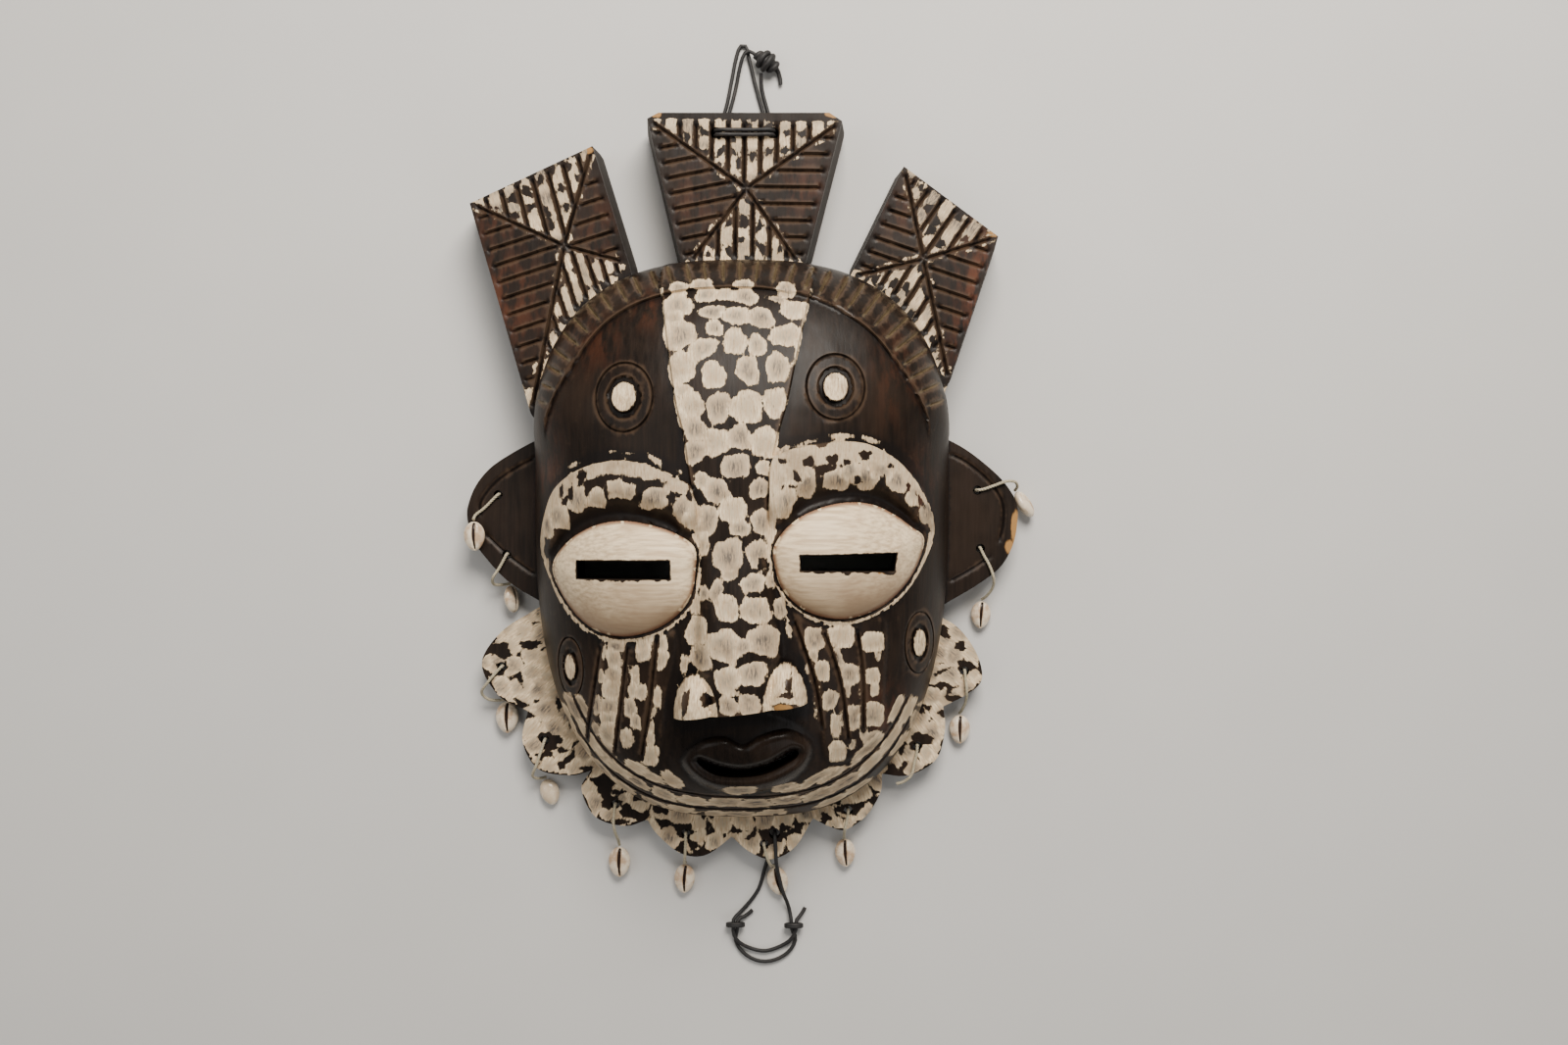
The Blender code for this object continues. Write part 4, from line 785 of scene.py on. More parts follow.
def shellEnds(shell):
    # the two tips, as the solids have them: the string reaches the one nearer its hole
    long = shell["size"] * shellLength / 2
    way = shellWay(shell)
    wide, thick = (shell["size"] * v / 2 for v in (shellWidth, shellThickness))
    rows = [(-0.82, 0.58), (-0.28, 0.96), (0.32, 0.98), (0.84, 0.56)]
    turns = [-90, -35, 18, 66, 90, 114, 162, 215]
    corners = [Vector((0, long * end, 0)) for end in (-1, 1)]
    for along, reach in rows:
        for degrees in turns:
            a = math.radians(degrees)
            flat = 0.62 if degrees == 90 else 0.84 if math.sin(a) > 0 else 1.0
            up = thick * reach * math.sin(a) * flat
            corners.append(Vector((wide * reach * math.cos(a), long * along, up)))
    lift = shell["low"] / 1000 - min((way @ c).z for c in corners)
    at = Vector((shell["at"][0] / 1000, shell["at"][1] / 1000, lift))
    tips = [way @ c + at for c in corners[:2]]
    hole = Vector((shell["hole"][0] / 1000, shell["hole"][1] / 1000, 0))
    tips.sort(key=lambda co: (co.xy - hole.xy).length)
    return tips


def stringRoute(hole, bends, front, end=None):
    x, y = hole
    inward = unit((-x, faceMiddle - y))
    back = boardBack * 1000
    route = [(x + inward[0] * t, y + inward[1] * t, back - 2.2) for t in (stringBack, 1.2)]
    route += [(x, y, back + 2.0), (x, y, front + 1.0)]
    return inMetres(route + bends) + ([end] if end else [])


def hangString(name, hole, front, bends, material, end=None):
    points = smoothRoute(stringRoute(hole, bends, front * 1000, end), twine["step"])
    string = twistedString("twine_" + name, points, stringDiameter, material)
    settle(string, "string", "string_" + name)
    return string, (hole[0] / 1000, hole[1] / 1000, front), points


def hangShells():
    pale, glossy = stringFinish(), shellFinish()
    for name, own in shells.items():
        shell = {**usualShell, **own}
        piece = cowriePiece("shell_" + name, shell, glossy)
        settle(piece, "shell", "cowrie_" + name)
        front = earFront if name.startswith("ear") else beardFront
        near, far = shellEnds(shell)
        end = near + (near - far).normalized() * (stringDiameter / 2 + gap)
        string, start, points = hangString(name, shell["hole"], front, shell["bends"], pale, end)
    string, start, points = hangString("lobe_7", stub["hole"], beardFront, stub["bends"], pale)
    print("shells and strings hung")


def crownKnotWraps(material):
    # a core with the cord wound round it, and the cut end
    wound = crownKnot[:6]
    shares = [1.5] * len(wound) + [1.9] * (len(crownKnot) - len(wound))
    thick = [p[3] * share / (cordDiameter * 1000) for p, share in zip(crownKnot, shares)]
    core = roundCord("crown_knot_core", inMetres(crownKnot), cordDiameter, material, thick)
    axis = smoothRoute(inMetres(wound), 0.0004)
    sizes = [p[3] for p in wound]
    points = []
    for k, p in enumerate(axis):
        t = k / (len(axis) - 1)
        reach = (np.interp(t * 5, range(6), sizes) - 1.0) / 1000
        ahead = (axis[min(k + 1, len(axis) - 1)] - axis[max(k - 1, 0)]).normalized()
        side = ahead.cross(Vector((0, 0, 1))).normalized()
        up = side.cross(ahead)
        a = t * blackCord["knotTurns"] * math.tau + 0.6
        points.append(p + side * reach * math.cos(a) + up * reach * math.sin(a) * 0.96)
    points = smoothRoute(points, 0.0011)
    wraps = roundCord("crown_knot_wraps", points, blackCord["wrapDiameter"], material)
    settle(core, "cord", "crown_knot")
    settle(wraps, "cord")
    return core, wraps


def tieCords():
    black = cordFinish()
    core, wraps = crownKnotWraps(black)
    points = smoothRoute(inMetres(crownCord), blackCord["step"])
    cord = roundCord("crown_hanging_cord", points, cordDiameter, black)
    settle(cord, "cord", "crown_cord")
    wide, high = knotReach
    ringThick = cordDiameter * blackCord["ringThickness"]
    turns = [math.tau * k / blackCord["ringSides"] for k in range(blackCord["ringSides"])]
    for side, (x, y, z) in chinKnots.items():
        for number, off in ((1, -0.55), (2, 0.55)):
            ring = [
                (x + wide * math.cos(a), y + off + 0.5 * math.sin(a), z + high * math.sin(a))
                for a in turns
            ]
            name = "chin_knot_" + side
            made = roundCord(f"{name}_{number}", inMetres(ring), ringThick, black, closed=True)
            settle(made, "cord", *([name] if number == 1 else []))
    points = smoothRoute(inMetres(chinCord), blackCord["step"])
    cord = roundCord("beard_cord", points, cordDiameter, black)
    settle(cord, "cord", "chin_cord")
    print("cords tied")


# Curves and tests on the face plane, in millimetres


def smooth(t):
    t = np.clip(t, 0.0, 1.0)
    return t * t * (3.0 - 2.0 * t)


def curve(points, step, closed=False):
    # a smooth line through the points, cut into pieces of about one step
    p = np.array(points, float)
    count = len(p)
    made = []
    for i in range(count if closed else count - 1):
        a, b = p[i], p[(i + 1) % count]
        before = p[i - 1] if closed or i > 0 else 2 * a - b
        after = p[(i + 2) % count] if closed or i + 2 < count else 2 * b - a
        pieces = max(1, round(float(np.linalg.norm(b - a)) / step))
        for k in range(pieces):
            t = k / pieces
            bend = (2 * before - 5 * a + 4 * b - after) * t**2
            twist = (3 * a - before - 3 * b + after) * t**3
            made.append(0.5 * (2 * a + (b - before) * t + bend) + 0.5 * twist)
    if not closed:
        made.append(p[-1])
    return np.array(made)


def straight(points, step, closed=False):
    p = [np.array(q, float) for q in points]
    made = []
    for a, b in zip(p, p[1:] + p[:1] if closed else p[1:]):
        pieces = max(1, round(float(np.linalg.norm(b - a)) / step))
        made += [a + (b - a) * k / pieces for k in range(pieces)]
    if not closed:
        made.append(p[-1])
    return np.array(made)


def isInside(outline, x, y):
    found = np.zeros(np.shape(x), bool)
    low, high = outline.min(axis=0) - 1, outline.max(axis=0) + 1
    near = (x > low[0]) & (x < high[0]) & (y > low[1]) & (y < high[1])
    px, py = x[near], y[near]
    part = np.zeros(px.shape, bool)
    for (x0, y0), (x1, y1) in zip(outline, np.roll(outline, -1, axis=0)):
        crosses = (y0 > py) != (y1 > py)
        with np.errstate(divide="ignore", invalid="ignore"):
            at = x0 + (py - y0) / (y1 - y0) * (x1 - x0)
        part ^= crosses & (px < at)
    found[near] = part
    return found


def distance(line, x, y, closed=False, reach=6.0):
    # how far each point is from the line, where that is less than the reach
    best = np.full(np.shape(x), 1e3)
    ends = np.roll(line, -1, axis=0) if closed else line[1:]
    low, high = line.min(axis=0) - reach, line.max(axis=0) + reach
    near = np.nonzero((x > low[0]) & (x < high[0]) & (y > low[1]) & (y < high[1]))[0]
    px, py = x[near], y[near]
    part = np.full(px.shape, 1e3)
    for (x0, y0), (x1, y1) in zip(line, ends):
        dx, dy = x1 - x0, y1 - y0
        t = np.clip(((px - x0) * dx + (py - y0) * dy) / (dx * dx + dy * dy + 1e-12), 0, 1)
        part = np.minimum(part, np.hypot(px - x0 - t * dx, py - y0 - t * dy))
    best[near] = part
    return best


def drift(x, y, wide, high, level):
    # slow noise over the face plane, between about -1 and 1
    return np.array([noise.noise(Vector((px / wide, py / high, level))) for px, py in zip(x, y)])


def polarShare(outline, middle, x, y):
    # how far out a point is, as a share of the outline's reach in its direction
    away = outline - np.array(middle)
    angles = np.arctan2(away[:, 1], away[:, 0])
    reach = np.hypot(away[:, 0], away[:, 1])
    order = np.argsort(angles)
    angles, reach = angles[order], reach[order]
    angles = np.concatenate([angles[-1:] - math.tau, angles, angles[:1] + math.tau])
    reach = np.concatenate([reach[-1:], reach, reach[:1]])
    dx, dy = x - middle[0], y - middle[1]
    far = np.interp(np.arctan2(dy, dx), angles, reach)
    return np.hypot(dx, dy) / far, far


# The dome of the face


def domeShare(x, y, wall=0.0):
    # how far out a point is, as a share of the dome's outline or of one a wall inside it
    reach = np.where(y > faceMiddle, faceAbove, faceBelow) - wall
    across = (np.abs(x) / (faceHalfWidth - wall)) ** facePower
    return (across + (np.abs(y - faceMiddle) / reach) ** facePower) ** (1 / facePower)


def domeContour(share, step, fromAngle=0.0, toAngle=math.tau):
    angles = np.linspace(fromAngle, toAngle, 1441)
    c, s = np.cos(angles), np.sin(angles)
    x = share * faceHalfWidth * np.sign(c) * np.abs(c) ** (2 / facePower)
    reach = np.where(s > 0, faceAbove, faceBelow)
    y = faceMiddle + share * reach * np.sign(s) * np.abs(s) ** (2 / facePower)
    along = np.concatenate([[0], np.cumsum(np.hypot(np.diff(x), np.diff(y)))])
    closed = abs(toAngle - fromAngle - math.tau) < 1e-9
    count = max(3, round(along[-1] / step))
    at = np.linspace(0, along[-1], count + 1)[: count if closed else count + 1]
    return np.stack([np.interp(at, along, x), np.interp(at, along, y)], axis=1)


def rimLevel(y):
    low = (earFront + rimAboveEars) * 1000
    high = (crownFront + rimAboveCrown) * 1000
    return low + (high - low) * smooth((y - rimRise[0]) / (rimRise[1] - rimRise[0]))


def domeHeight(x, y):
    rim = rimLevel(y)
    share = domeShare(x, y) / rimShare
    return rim + (faceDepth * 1000 - rim) * np.sqrt(np.maximum(0, 1 - share**2))


def hollowShare(x, y):
    return domeShare(x, y, wallThickness * 1000)


def hollowHeight(x, y):
    share = np.minimum(hollowShare(x, y), 1)
    return (faceDepth - wallThickness) * 1000 * np.sqrt(1 - share**2)


def boards():
    crown = [straight(board["corners"], fineStep, True) for board in crownBoards.values()]
    made = [(outline, crownFront * 1000) for outline in crown]
    made += [(curve(ear, fineStep), earFront * 1000) for ear in (earLeft, earRight)]
    beard = np.concatenate([curve(lobe, fineStep)[:-1] for lobe in beardLobes])
    made.append((np.vstack([beard, beardLobes[-1][-1]]), beardFront * 1000))
    return made


def holeRings():
    rings = []
    kinds = [
        (earHoles + beardHoles, stringHoleRadius, 16),
        (crownCordHoles + [chinCordHole], cordHoleRadius, 20),
    ]
    for places, radius, sides in kinds:
        for x, y in places:
            turns = np.arange(sides) / sides * math.tau
            reach = radius * 1000
            rings.append(np.stack([x + reach * np.cos(turns), y + reach * np.sin(turns)], axis=1))
    rings += [straight(eye["slot"], fineStep, True) for eye in eyes.values()]
    rings.append(curve(slit, fineStep, True))
    return rings


# Grooves: a line, half its width, its depth and where it lies


def unit(v):
    return np.array(v) / max(float(np.hypot(*v)), 1e-9)


def crossing(start, way, cross, corner):
    side = cross - corner
    det = way[0] * -side[1] + way[1] * side[0]
    if abs(det) < 1e-6:
        return 0.0
    off = corner - start
    return float((off[0] * -side[1] + off[1] * side[0]) / det)


def shareAt(p):
    return float(domeShare(np.array([p[0]]), np.array([p[1]]))[0])


def turned(v, degrees):
    c, s = math.cos(math.radians(degrees)), math.sin(math.radians(degrees))
    return np.array([v[0] * c - v[1] * s, v[0] * s + v[1] * c])


def boardFields(board):
    # the four fields of a crown board, each with the line at its rim and its inward way
    corners = [np.array(board["corners"][i], float) for i in board["spread"]]
    across = unit(corners[1] - corners[0])
    along = np.array([-across[1], across[0]])
    ways = [(0, 1, -along), (1, 2, -across), (2, 3, along), (3, 0, across)]
    leans = board["lean"]
    return [(corners[a], corners[b], turned(way, lean)) for (a, b, way), lean in zip(ways, leans)]


def cutAcross(board, a, b, way, part):
    # from the rim to the diagonal, straight along the field's way
    cross = np.array(board["cross"], float)
    start = a + (b - a) * part
    side = np.array([way[1], -way[0]])
    nearer = a if ((start - cross) @ side) * ((a - cross) @ side) > 0 else b
    return start, crossing(start, way, cross, nearer)


def boardCuts(board):
    cross = np.array(board["cross"], float)
    made = []
    for i in board["spread"]:
        corner = np.array(board["corners"][i], float)
        way = unit(cross - corner)
        start = corner + way * 4.0
        while shareAt(start) < besideDome:
            start = start + way
        made.append(np.array([start, cross - way * 0.4]))
    for a, b, way in boardFields(board):
        count = max(2, round(float(np.linalg.norm(b - a)) / cutSpacing))
        for k in range(1, count):
            start, reach = cutAcross(board, a, b, way, k / count)
            end = start + way * (reach - cutMargin)
            start = start + way * cutMargin
            while shareAt(start) < besideDome and (end - start) @ way > 5.0:
                start = start + way
            if (end - start) @ way > 5.0:
                made.append(np.array([start, end]))
    return made


def bandEdge(x, y):
    return bandInner + bandNarrow * smooth((85.0 - y) / 50.0) - bandTilt * smooth(x / 80.0)


def bandNotches():
    made = []
    outer = domeContour(0.985, 1.0, math.radians(14), math.radians(166))
    for k in range(notchCount):
        foot = outer[round((k + 0.5) / notchCount * (len(outer) - 1))]
        head = faceCentre + (foot - faceCentre) * (bandEdge(*foot) + 0.025) / shareAt(foot)
        made.append(np.array([head, foot]))
    return made


def grooves():
    made = []
    for board in crownBoards.values():
        made += [(line, cutHalfWidth, cutDepth, "board") for line in boardCuts(board)]
    made += [(curve(line, fineStep), cutHalfWidth, earCutDepth, "board") for line in earGrooves]
    made += [(line, notchHalfWidth, notchDepth, "band") for line in bandNotches()]
    made += [(curve(line, fineStep), cutHalfWidth, cutDepth, "cheek") for line in cheekCuts]
    for share in chinCuts:
        arc = domeContour(share, fineStep * 2, math.radians(208), math.radians(332))
        start = chinCutStart - 300 * (share - chinCuts[0])
        made.append((arc[arc[:, 1] < start], chinCutHalfWidth, chinCutDepth, "chin"))
    return made


def grooveLines(line, half):
    line = straight(line, fineStep)
    way = np.gradient(line, axis=0)
    way /= np.maximum(np.hypot(way[:, 0], way[:, 1])[:, None], 1e-9)
    side = np.stack([-way[:, 1], way[:, 0]], axis=1) * half
    ends = np.minimum(np.hypot(*(line - line[0]).T), np.hypot(*(line - line[-1]).T))
    return [line] + [line + side * w * np.clip(ends / (2 * half), 0, 1)[:, None] for w in (1, -1)]


def grooveDepth(line, half, depth, x, y):
    (x0, y0), (x1, y1) = line[0], line[-1]
    ends = np.minimum(np.hypot(x - x0, y - y0), np.hypot(x - x1, y - y1))
    taper = np.clip(ends / (2 * half), 0, 1)
    return depth * np.clip(1 - distance(line, x, y, reach=3.0) / half, 0, 1) * taper


# Relief on the dome


def stripeSides(y):
    heights, left, right = np.array(stripe[::-1], float).T
    return np.interp(y, heights, left), np.interp(y, heights, right)


def noseFootAt(x):
    (x0, y0), (x1, y1) = noseFoot
    return y0 + (x - x0) * (y1 - y0) / (x1 - x0)


def noseRelief(x, y):
    left, right = stripeSides(y)
    middle, half = (left + right) / 2, (right - left) / 2
    across = np.abs(x - middle) / half
    edge = smooth((half - np.abs(x - middle)) / sharpStep)
    flat = stripeRaise * edge * smooth((y + 44) / 30)
    down = np.clip((noseTop - y) / (noseTop - noseFoot[0][1]), 0, 1.1)
    core = np.clip(across * (1 + 0.5 * down), 0, 1)
    ridge = noseRise * down**1.15 * np.clip(1 - core**2.3, 0, 1) ** 0.75
    made = flat + ridge
    for nostril in nostrils:
        (nx, ny), (rx, ry) = nostril["at"], nostril["radii"]
        out = ((x - nx) / rx) ** 2 + ((y - ny) / ry) ** 2
        made = np.maximum(made, nostril["rise"] * np.sqrt(np.maximum(0, 1 - out)))
    return made * smooth((y - noseFootAt(x)) / sharpStep)


def eyeSpread(eye, x, y):
    # how far out in the ball and in the brow a point is, each with the reach that way
    ball, brow = (curve(eye[part], outlineStep, True) for part in ("ball", "brow"))
    return *polarShare(ball, eye["middle"], x, y), *polarShare(brow, eye["middle"], x, y)


def eyeRelief(eye, x, y):
    share, reach, _, browReach = eyeSpread(eye, x, y)
    bulge = ballRise * np.clip(1 - share**2, 0, 1) ** 0.62
    width = np.maximum(browReach - reach, 0.5)
    t = (share * reach - reach) / width
    rise = browRise * smooth((width - 6.0) / 16.0)
    climb = smooth((t - 0.10) / 0.42)
    step = smooth((1 - t) * width / sharpStep)
    hollow = -2.0 * smooth((width - 6.0) / 16.0) * (1 - smooth((t - 0.05) / 0.3))
    lid = 1.2 * np.clip(1 - np.abs(t * width - 1.6) / 1.6, 0, 1)
    brow = (hollow + rise * climb + lid) * step
    return np.where(share < 1, bulge, np.where(t < 1, brow, 0.0))


def ovalShare(oval, x, y):
    (cx, cy), (rx, ry) = oval["at"], oval["radii"]
    return np.hypot((x - cx) / rx, (y - cy) / ry)


def roundelRelief(roundel, x, y):
    q = ovalShare(roundel, x, y)
    groove = -roundelGroove * np.clip(1 - np.abs(q - grooveAt) / 0.05, 0, 1)
    moat = -roundelMoat * smooth((moatEdge - q) / 0.05) * smooth((q - 0.40) / 0.05)
    boss = roundelBoss * smooth((bossEdge - q) / 0.06)
    return groove + moat + boss


def mouthRelief(x, y):
    (cx, cy), (rx, ry) = mouthMound["at"], mouthMound["radii"]
    out = ((x - cx) / rx) ** 2 + ((y - cy) / ry) ** 2
    mound = mouthMound["rise"] * np.clip(1 - out, 0, 1)
    outline = curve(lips, outlineStep, True)
    deep = np.where(isInside(outline, x, y), distance(outline, x, y, True, 30), 0.0)
    full = 1 - (1 - np.clip(deep / lipRound, 0, 1)) ** 2
    opening = curve(slit, outlineStep, True)
    near = np.where(isInside(opening, x, y), 0.0, distance(opening, x, y, True, 30))
    return mound + lipRise * full * (0.25 + 0.75 * smooth(near / 4.5))


def bandRelief(x, y):
    lift = smooth((domeShare(x, y) - bandEdge(x, y)) * faceHalfWidth / sharpStep)
    low, high = bandFade
    return bandRaise * lift * smooth((y - low) / (high - low))


def panelRelief(x, y):
    made = np.zeros(np.shape(x))
    for panel in cheekPanels:
        outline = curve(panel, outlineStep, True)
        deep = np.where(isInside(outline, x, y), distance(outline, x, y, True), 0.0)
        made += panelRaise * smooth(deep / 3.0)
    return made


def boardLevel(x, y):
    level = np.full(np.shape(x), -1.0)
    for outline, front in boards():
        on = isInside(outline, x, y) | (distance(outline, x, y, True, 2) < 0.1)
        level = np.where(on, np.maximum(level, front), level)
    return np.where(domeShare(x, y) > 0.9985, level, -1.0)


def knifeMarks(x, y):
    # the slightly wavy surface that a knife leaves
    waves, facets = drift(x, y, 19, 27, 3.1), drift(x, y, 5.5, 9, 8.4)
    return mask["waviness"] * waves + mask["knifeDepth"] * facets


def frontHeight(x, y):
    level = boardLevel(x, y)
    inNose = noseRelief(x, y)
    made = domeHeight(x, y) + bandRelief(x, y) + mouthRelief(x, y) + panelRelief(x, y)
    around = np.zeros(np.shape(x))
    for eye in eyes.values():
        part = eyeRelief(eye, x, y)
        around = np.where(np.abs(part) > np.abs(around), part, around)
    for roundel in roundels:
        around = around + roundelRelief(roundel, x, y)
    made = made + np.maximum(inNose, around) + np.minimum(around, 0) * (inNose < 0.5)
    deepDome, deepBoard = np.zeros(np.shape(x)), np.zeros(np.shape(x))
    for line, half, depth, where in grooves():
        cut = grooveDepth(line, half, depth, x, y)
        if where == "board":
            deepBoard = np.maximum(deepBoard, cut)
        else:
            deepDome = np.maximum(deepDome, cut)
    marks = knifeMarks(x, y)
    on = domeShare(x, y) < 0.985
    board = level - deepBoard + mask["boardWaviness"] * marks
    return np.where(level > 0, board, made - deepDome + marks * on), level > 0


def backHeight(x, y):
    on = domeShare(x, y) <= 1.002
    return np.where(on, np.where(hollowShare(x, y) < 1, hollowHeight(x, y), 0.0), boardBack * 1000)


# The wood as one closed net: a front sheet, a back sheet and the walls between them


def stretchTable():
    # the dome unrolled from its middle outwards, so that its steep rim gets enough net
    turn = np.linspace(0, math.pi / 2, 400)
    share = rimShare * np.sin(turn)
    slope = np.sqrt(np.cos(turn) ** 2 + 0.36 * np.sin(turn) ** 2)
    steps = 0.5 * (slope[1:] + slope[:-1]) * np.diff(turn)
    along = np.concatenate([[0], np.cumsum(steps)]) * rimShare
    return np.append(share, 3.0), np.append(along, along[-1] + 3.0 - share[-1])


def unrolled(p, back=False):
    share, along = stretchTable()
    away = p - faceCentre
    now = domeShare(p[:, 0], p[:, 1])
    then = np.interp(now, along, share) if back else np.interp(now, share, along)
    return faceCentre + away * (then / np.maximum(now, 1e-6))[:, None]


def outsideDome(line, limit=0.988):
    shown = domeShare(line[:, 0], line[:, 1]) > limit
    if shown.all():
        return [line]
    first = int(np.argmin(shown))
    line, shown = np.roll(line, -first, axis=0), np.roll(shown, -first)
    runs, run = [], []
    for p, out in zip(line, shown):
        if out:
            run.append(p)
        elif run:
            runs.append(np.array(run))
            run = []
    return [r for r in runs + [np.array(run)] if len(r) > 1]


def ellipse(at, radii, q):
    count = max(12, round(math.pi * (radii[0] + radii[1]) * q / fineStep))
    turns = np.arange(count) / count * math.tau
    across, along = q * radii[0] * np.cos(turns), q * radii[1] * np.sin(turns)
    return np.stack([at[0] + across, at[1] + along], axis=1)


def nostrilLine(nostril, q):
    # an arch that stands on the nose's foot line
    (cx, cy), (rx, ry) = nostril["at"], nostril["radii"]
    turns = np.radians(np.linspace(-6, 186, round(3.3 * q * (rx + ry) / 2 / fineStep)))
    return np.stack([cx + q * rx * np.cos(turns), cy + q * ry * np.sin(turns)], axis=1)


def edgeLines():
    made = [(line, True) for line in holeRings()]
    for outline, _ in boards():
        runs = outsideDome(outline)
        made += [(run, len(run) == len(outline)) for run in runs]
    made.append((domeContour(1.0, fineStep), True))
    return made


def frontLines():
    made = edgeLines()
    made.append((domeContour(stepShare, fineStep), True))
    for line, half, _, _ in grooves():
        made += [(part, False) for part in grooveLines(line, half)]
    angles = (math.radians(12), math.radians(168))
    for off in (0.0, sharpStep / faceHalfWidth):
        ring = domeContour(1.0, fineStep, *angles)
        reach = (bandEdge(ring[:, 0], ring[:, 1]) + off)[:, None]
        made.append((faceCentre + (ring - faceCentre) * reach, False))
    rows = [row for row in stripe if row[0] >= -66]
    for side, inward in ((1, 1), (2, -1)):
        for off in (0.0, sharpStep):
            edge = [(row[side] + inward * off, row[0]) for row in rows]
            made.append((curve(edge, fineStep), False))
    (x0, y0), (x1, y1) = noseFoot
    for off in (0.0, sharpStep):
        made.append((straight([(x0, y0 + off), (x1, y1 + off)], fineStep), False))
    for nostril in nostrils:
        made += [(nostrilLine(nostril, q), False) for q in (1.0, 0.965)]
    for eye in eyes.values():
        middle = np.array(eye["middle"])
        made.append((curve(eye["ball"], fineStep, True), True))
        brow = curve(eye["brow"], fineStep, True)
        far = np.hypot(*(brow - middle).T)[:, None]
        made += [(brow, True), (middle + (brow - middle) * (far - sharpStep) / far, True)]
    for roundel in roundels:
        for q in (1.0, grooveAt, 0.9, moatEdge, bossEdge, 0.39):
            made.append((ellipse(roundel["at"], roundel["radii"], q), True))
    made.append((curve(lips, fineStep, True), True))
    return made


def insideWood(x, y):
    found = domeShare(x, y) < 1
    for outline, _ in boards():
        found |= isInside(outline, x, y)
    for ring in holeRings():
        found &= ~isInside(ring, x, y)
    return found


def treeOf(points):
    tree = KDTree(len(points))
    for i, p in enumerate(points):
        tree.insert((p[0], p[1], 0), i)
    tree.balance()
    return tree


def staggered(wide, high, step):
    # points in offset rows, as the corners of equal triangles
    rowGap = step * math.sqrt(3) / 2
    x, y = np.meshgrid(np.arange(-wide, wide, step), np.arange(-high, high, rowGap))
    x = x + (np.arange(x.shape[0]) % 2)[:, None] * step / 2
    return np.stack([x.ravel(), y.ravel()], axis=1)


def fillPoints(step, taken, room):
    # an even field of points on the unrolled plane, clear of the lines
    p = staggered(250, 320, step)
    x, y = unrolled(p, back=True).T
    keep = (np.abs(x) < 182) & (np.abs(y) < 245)
    p, x, y = p[keep], x[keep], y[keep]
    p = p[insideWood(x, y)]
    tree = treeOf(taken)
    rng = random.Random(5)
    most = 0.12 * step
    shifted = [(a + rng.uniform(-most, most), b + rng.uniform(-most, most)) for a, b in p]
    return np.array([q for q in shifted if tree.find((*q, 0))[2] > room])


def netOf(points, edges):
    # triangles through all the points and edges, and the given points that each corner was
    verts = [Vector(map(float, p)) for p in points]
    made, _, faces, origins, _, _ = delaunay_2d_cdt(verts, edges, [], 0, 1e-4)
    return np.array([tuple(v) for v in made]), np.array([tuple(f) for f in faces]), origins


def netThrough(points, lines):
    edges, first = [], 0
    for line, closed in lines:
        edges += [(first + k, first + k + 1) for k in range(len(line) - 1)]
        if closed:
            edges.append((first + len(line) - 1, first))
        first += len(line)
    return netOf(np.vstack([line for line, _ in lines] + [points]), edges)[:2]


def keptFaces(flat, faces):
    middle = flat[faces].mean(axis=1)
    faces = faces[insideWood(middle[:, 0], middle[:, 1])]
    a, b, c = (flat[faces[:, i]] for i in range(3))
    area = (b[:, 0] - a[:, 0]) * (c[:, 1] - a[:, 1]) - (b[:, 1] - a[:, 1]) * (c[:, 0] - a[:, 0])
    return faces[np.abs(area) > 1e-3]


def rimEdges(faces):
    sides = np.vstack([faces[:, [0, 1]], faces[:, [1, 2]], faces[:, [2, 0]]])
    known = {(int(a), int(b)) for a, b in sides}
    return sorted((a, b) for a, b in known if (b, a) not in known)


def backSheet(flat, rim):
    # the front's edge points, and a coarser net between them that follows the hollow
    onRim = sorted({i for edge in rim for i in edge})
    place = {i: k for k, i in enumerate(onRim)}
    rimPoints = flat[onRim]
    tree = treeOf(rimPoints)
    points = list(rimPoints)
    step, ringStep = mask["backStep"], mask["backStep"] / 2
    contour = domeContour(1.0, ringStep)
    share = hollowShare(contour[:, 0], contour[:, 1])[:, None]
    steep = (1.0, 0.9995, 0.998, 0.992, 0.98, 0.96, 0.93)  # shares where the hollow's side is steep
    rings = [faceCentre + (contour - faceCentre) / share * q for q in steep]
    rings.append(domeContour(besideDome, ringStep))
    for ring in rings:
        ring = ring[insideWood(ring[:, 0], ring[:, 1])]
        points += [p for p in ring if tree.find((*p, 0))[2] > 1.7]
    taken = treeOf(np.vstack([rimPoints] + rings))
    fill = staggered(185, 245, step)
    fill = fill[insideWood(fill[:, 0], fill[:, 1])]
    points += [p for p in fill if taken.find((*p, 0))[2] > 0.5 * step]
    back, faces, origins = netOf(points, [(place[a], place[b]) for a, b in rim])
    toBack = {}
    for new, old in enumerate(origins):
        for k in old:
            if k < len(onRim):
                toBack[onRim[k]] = new
    return back, keptFaces(back, faces), toBack


def grown(corners, by):
    p = np.array(corners, float)
    away = p - p.mean(axis=0)
    return p.mean(axis=0) + away * (1 + by / np.hypot(away[:, 0], away[:, 1])[:, None])


def backSpread(flat, rim):
    # how far each edge point of the crown moves outwards at the back
    after = {a: b for a, b in rim}
    before = {b: a for a, b in rim}
    ids = np.array(sorted(after))
    x, y = flat[ids, 0], flat[ids, 1]
    onCrown = np.zeros(len(ids), bool)
    for b in crownBoards.values():
        onCrown |= isInside(grown(b["corners"], 0.5), x, y)
    for hx, hy in crownCordHoles:
        onCrown &= np.hypot(x - hx, y - hy) > 6
    share = smooth((domeShare(x, y) - 1.0) / 0.06)
    moved = {}
    for i, on, part in zip(ids, onCrown, share):
        if on:
            way = unit(flat[after[i]] - flat[i]) + unit(flat[i] - flat[before[i]])
            moved[i] = unit((way[1], -way[0])) * crownDraft * 1000 * part
    return moved


# Paint: brush dabs, each a place, half its width and height, and a turn in radians

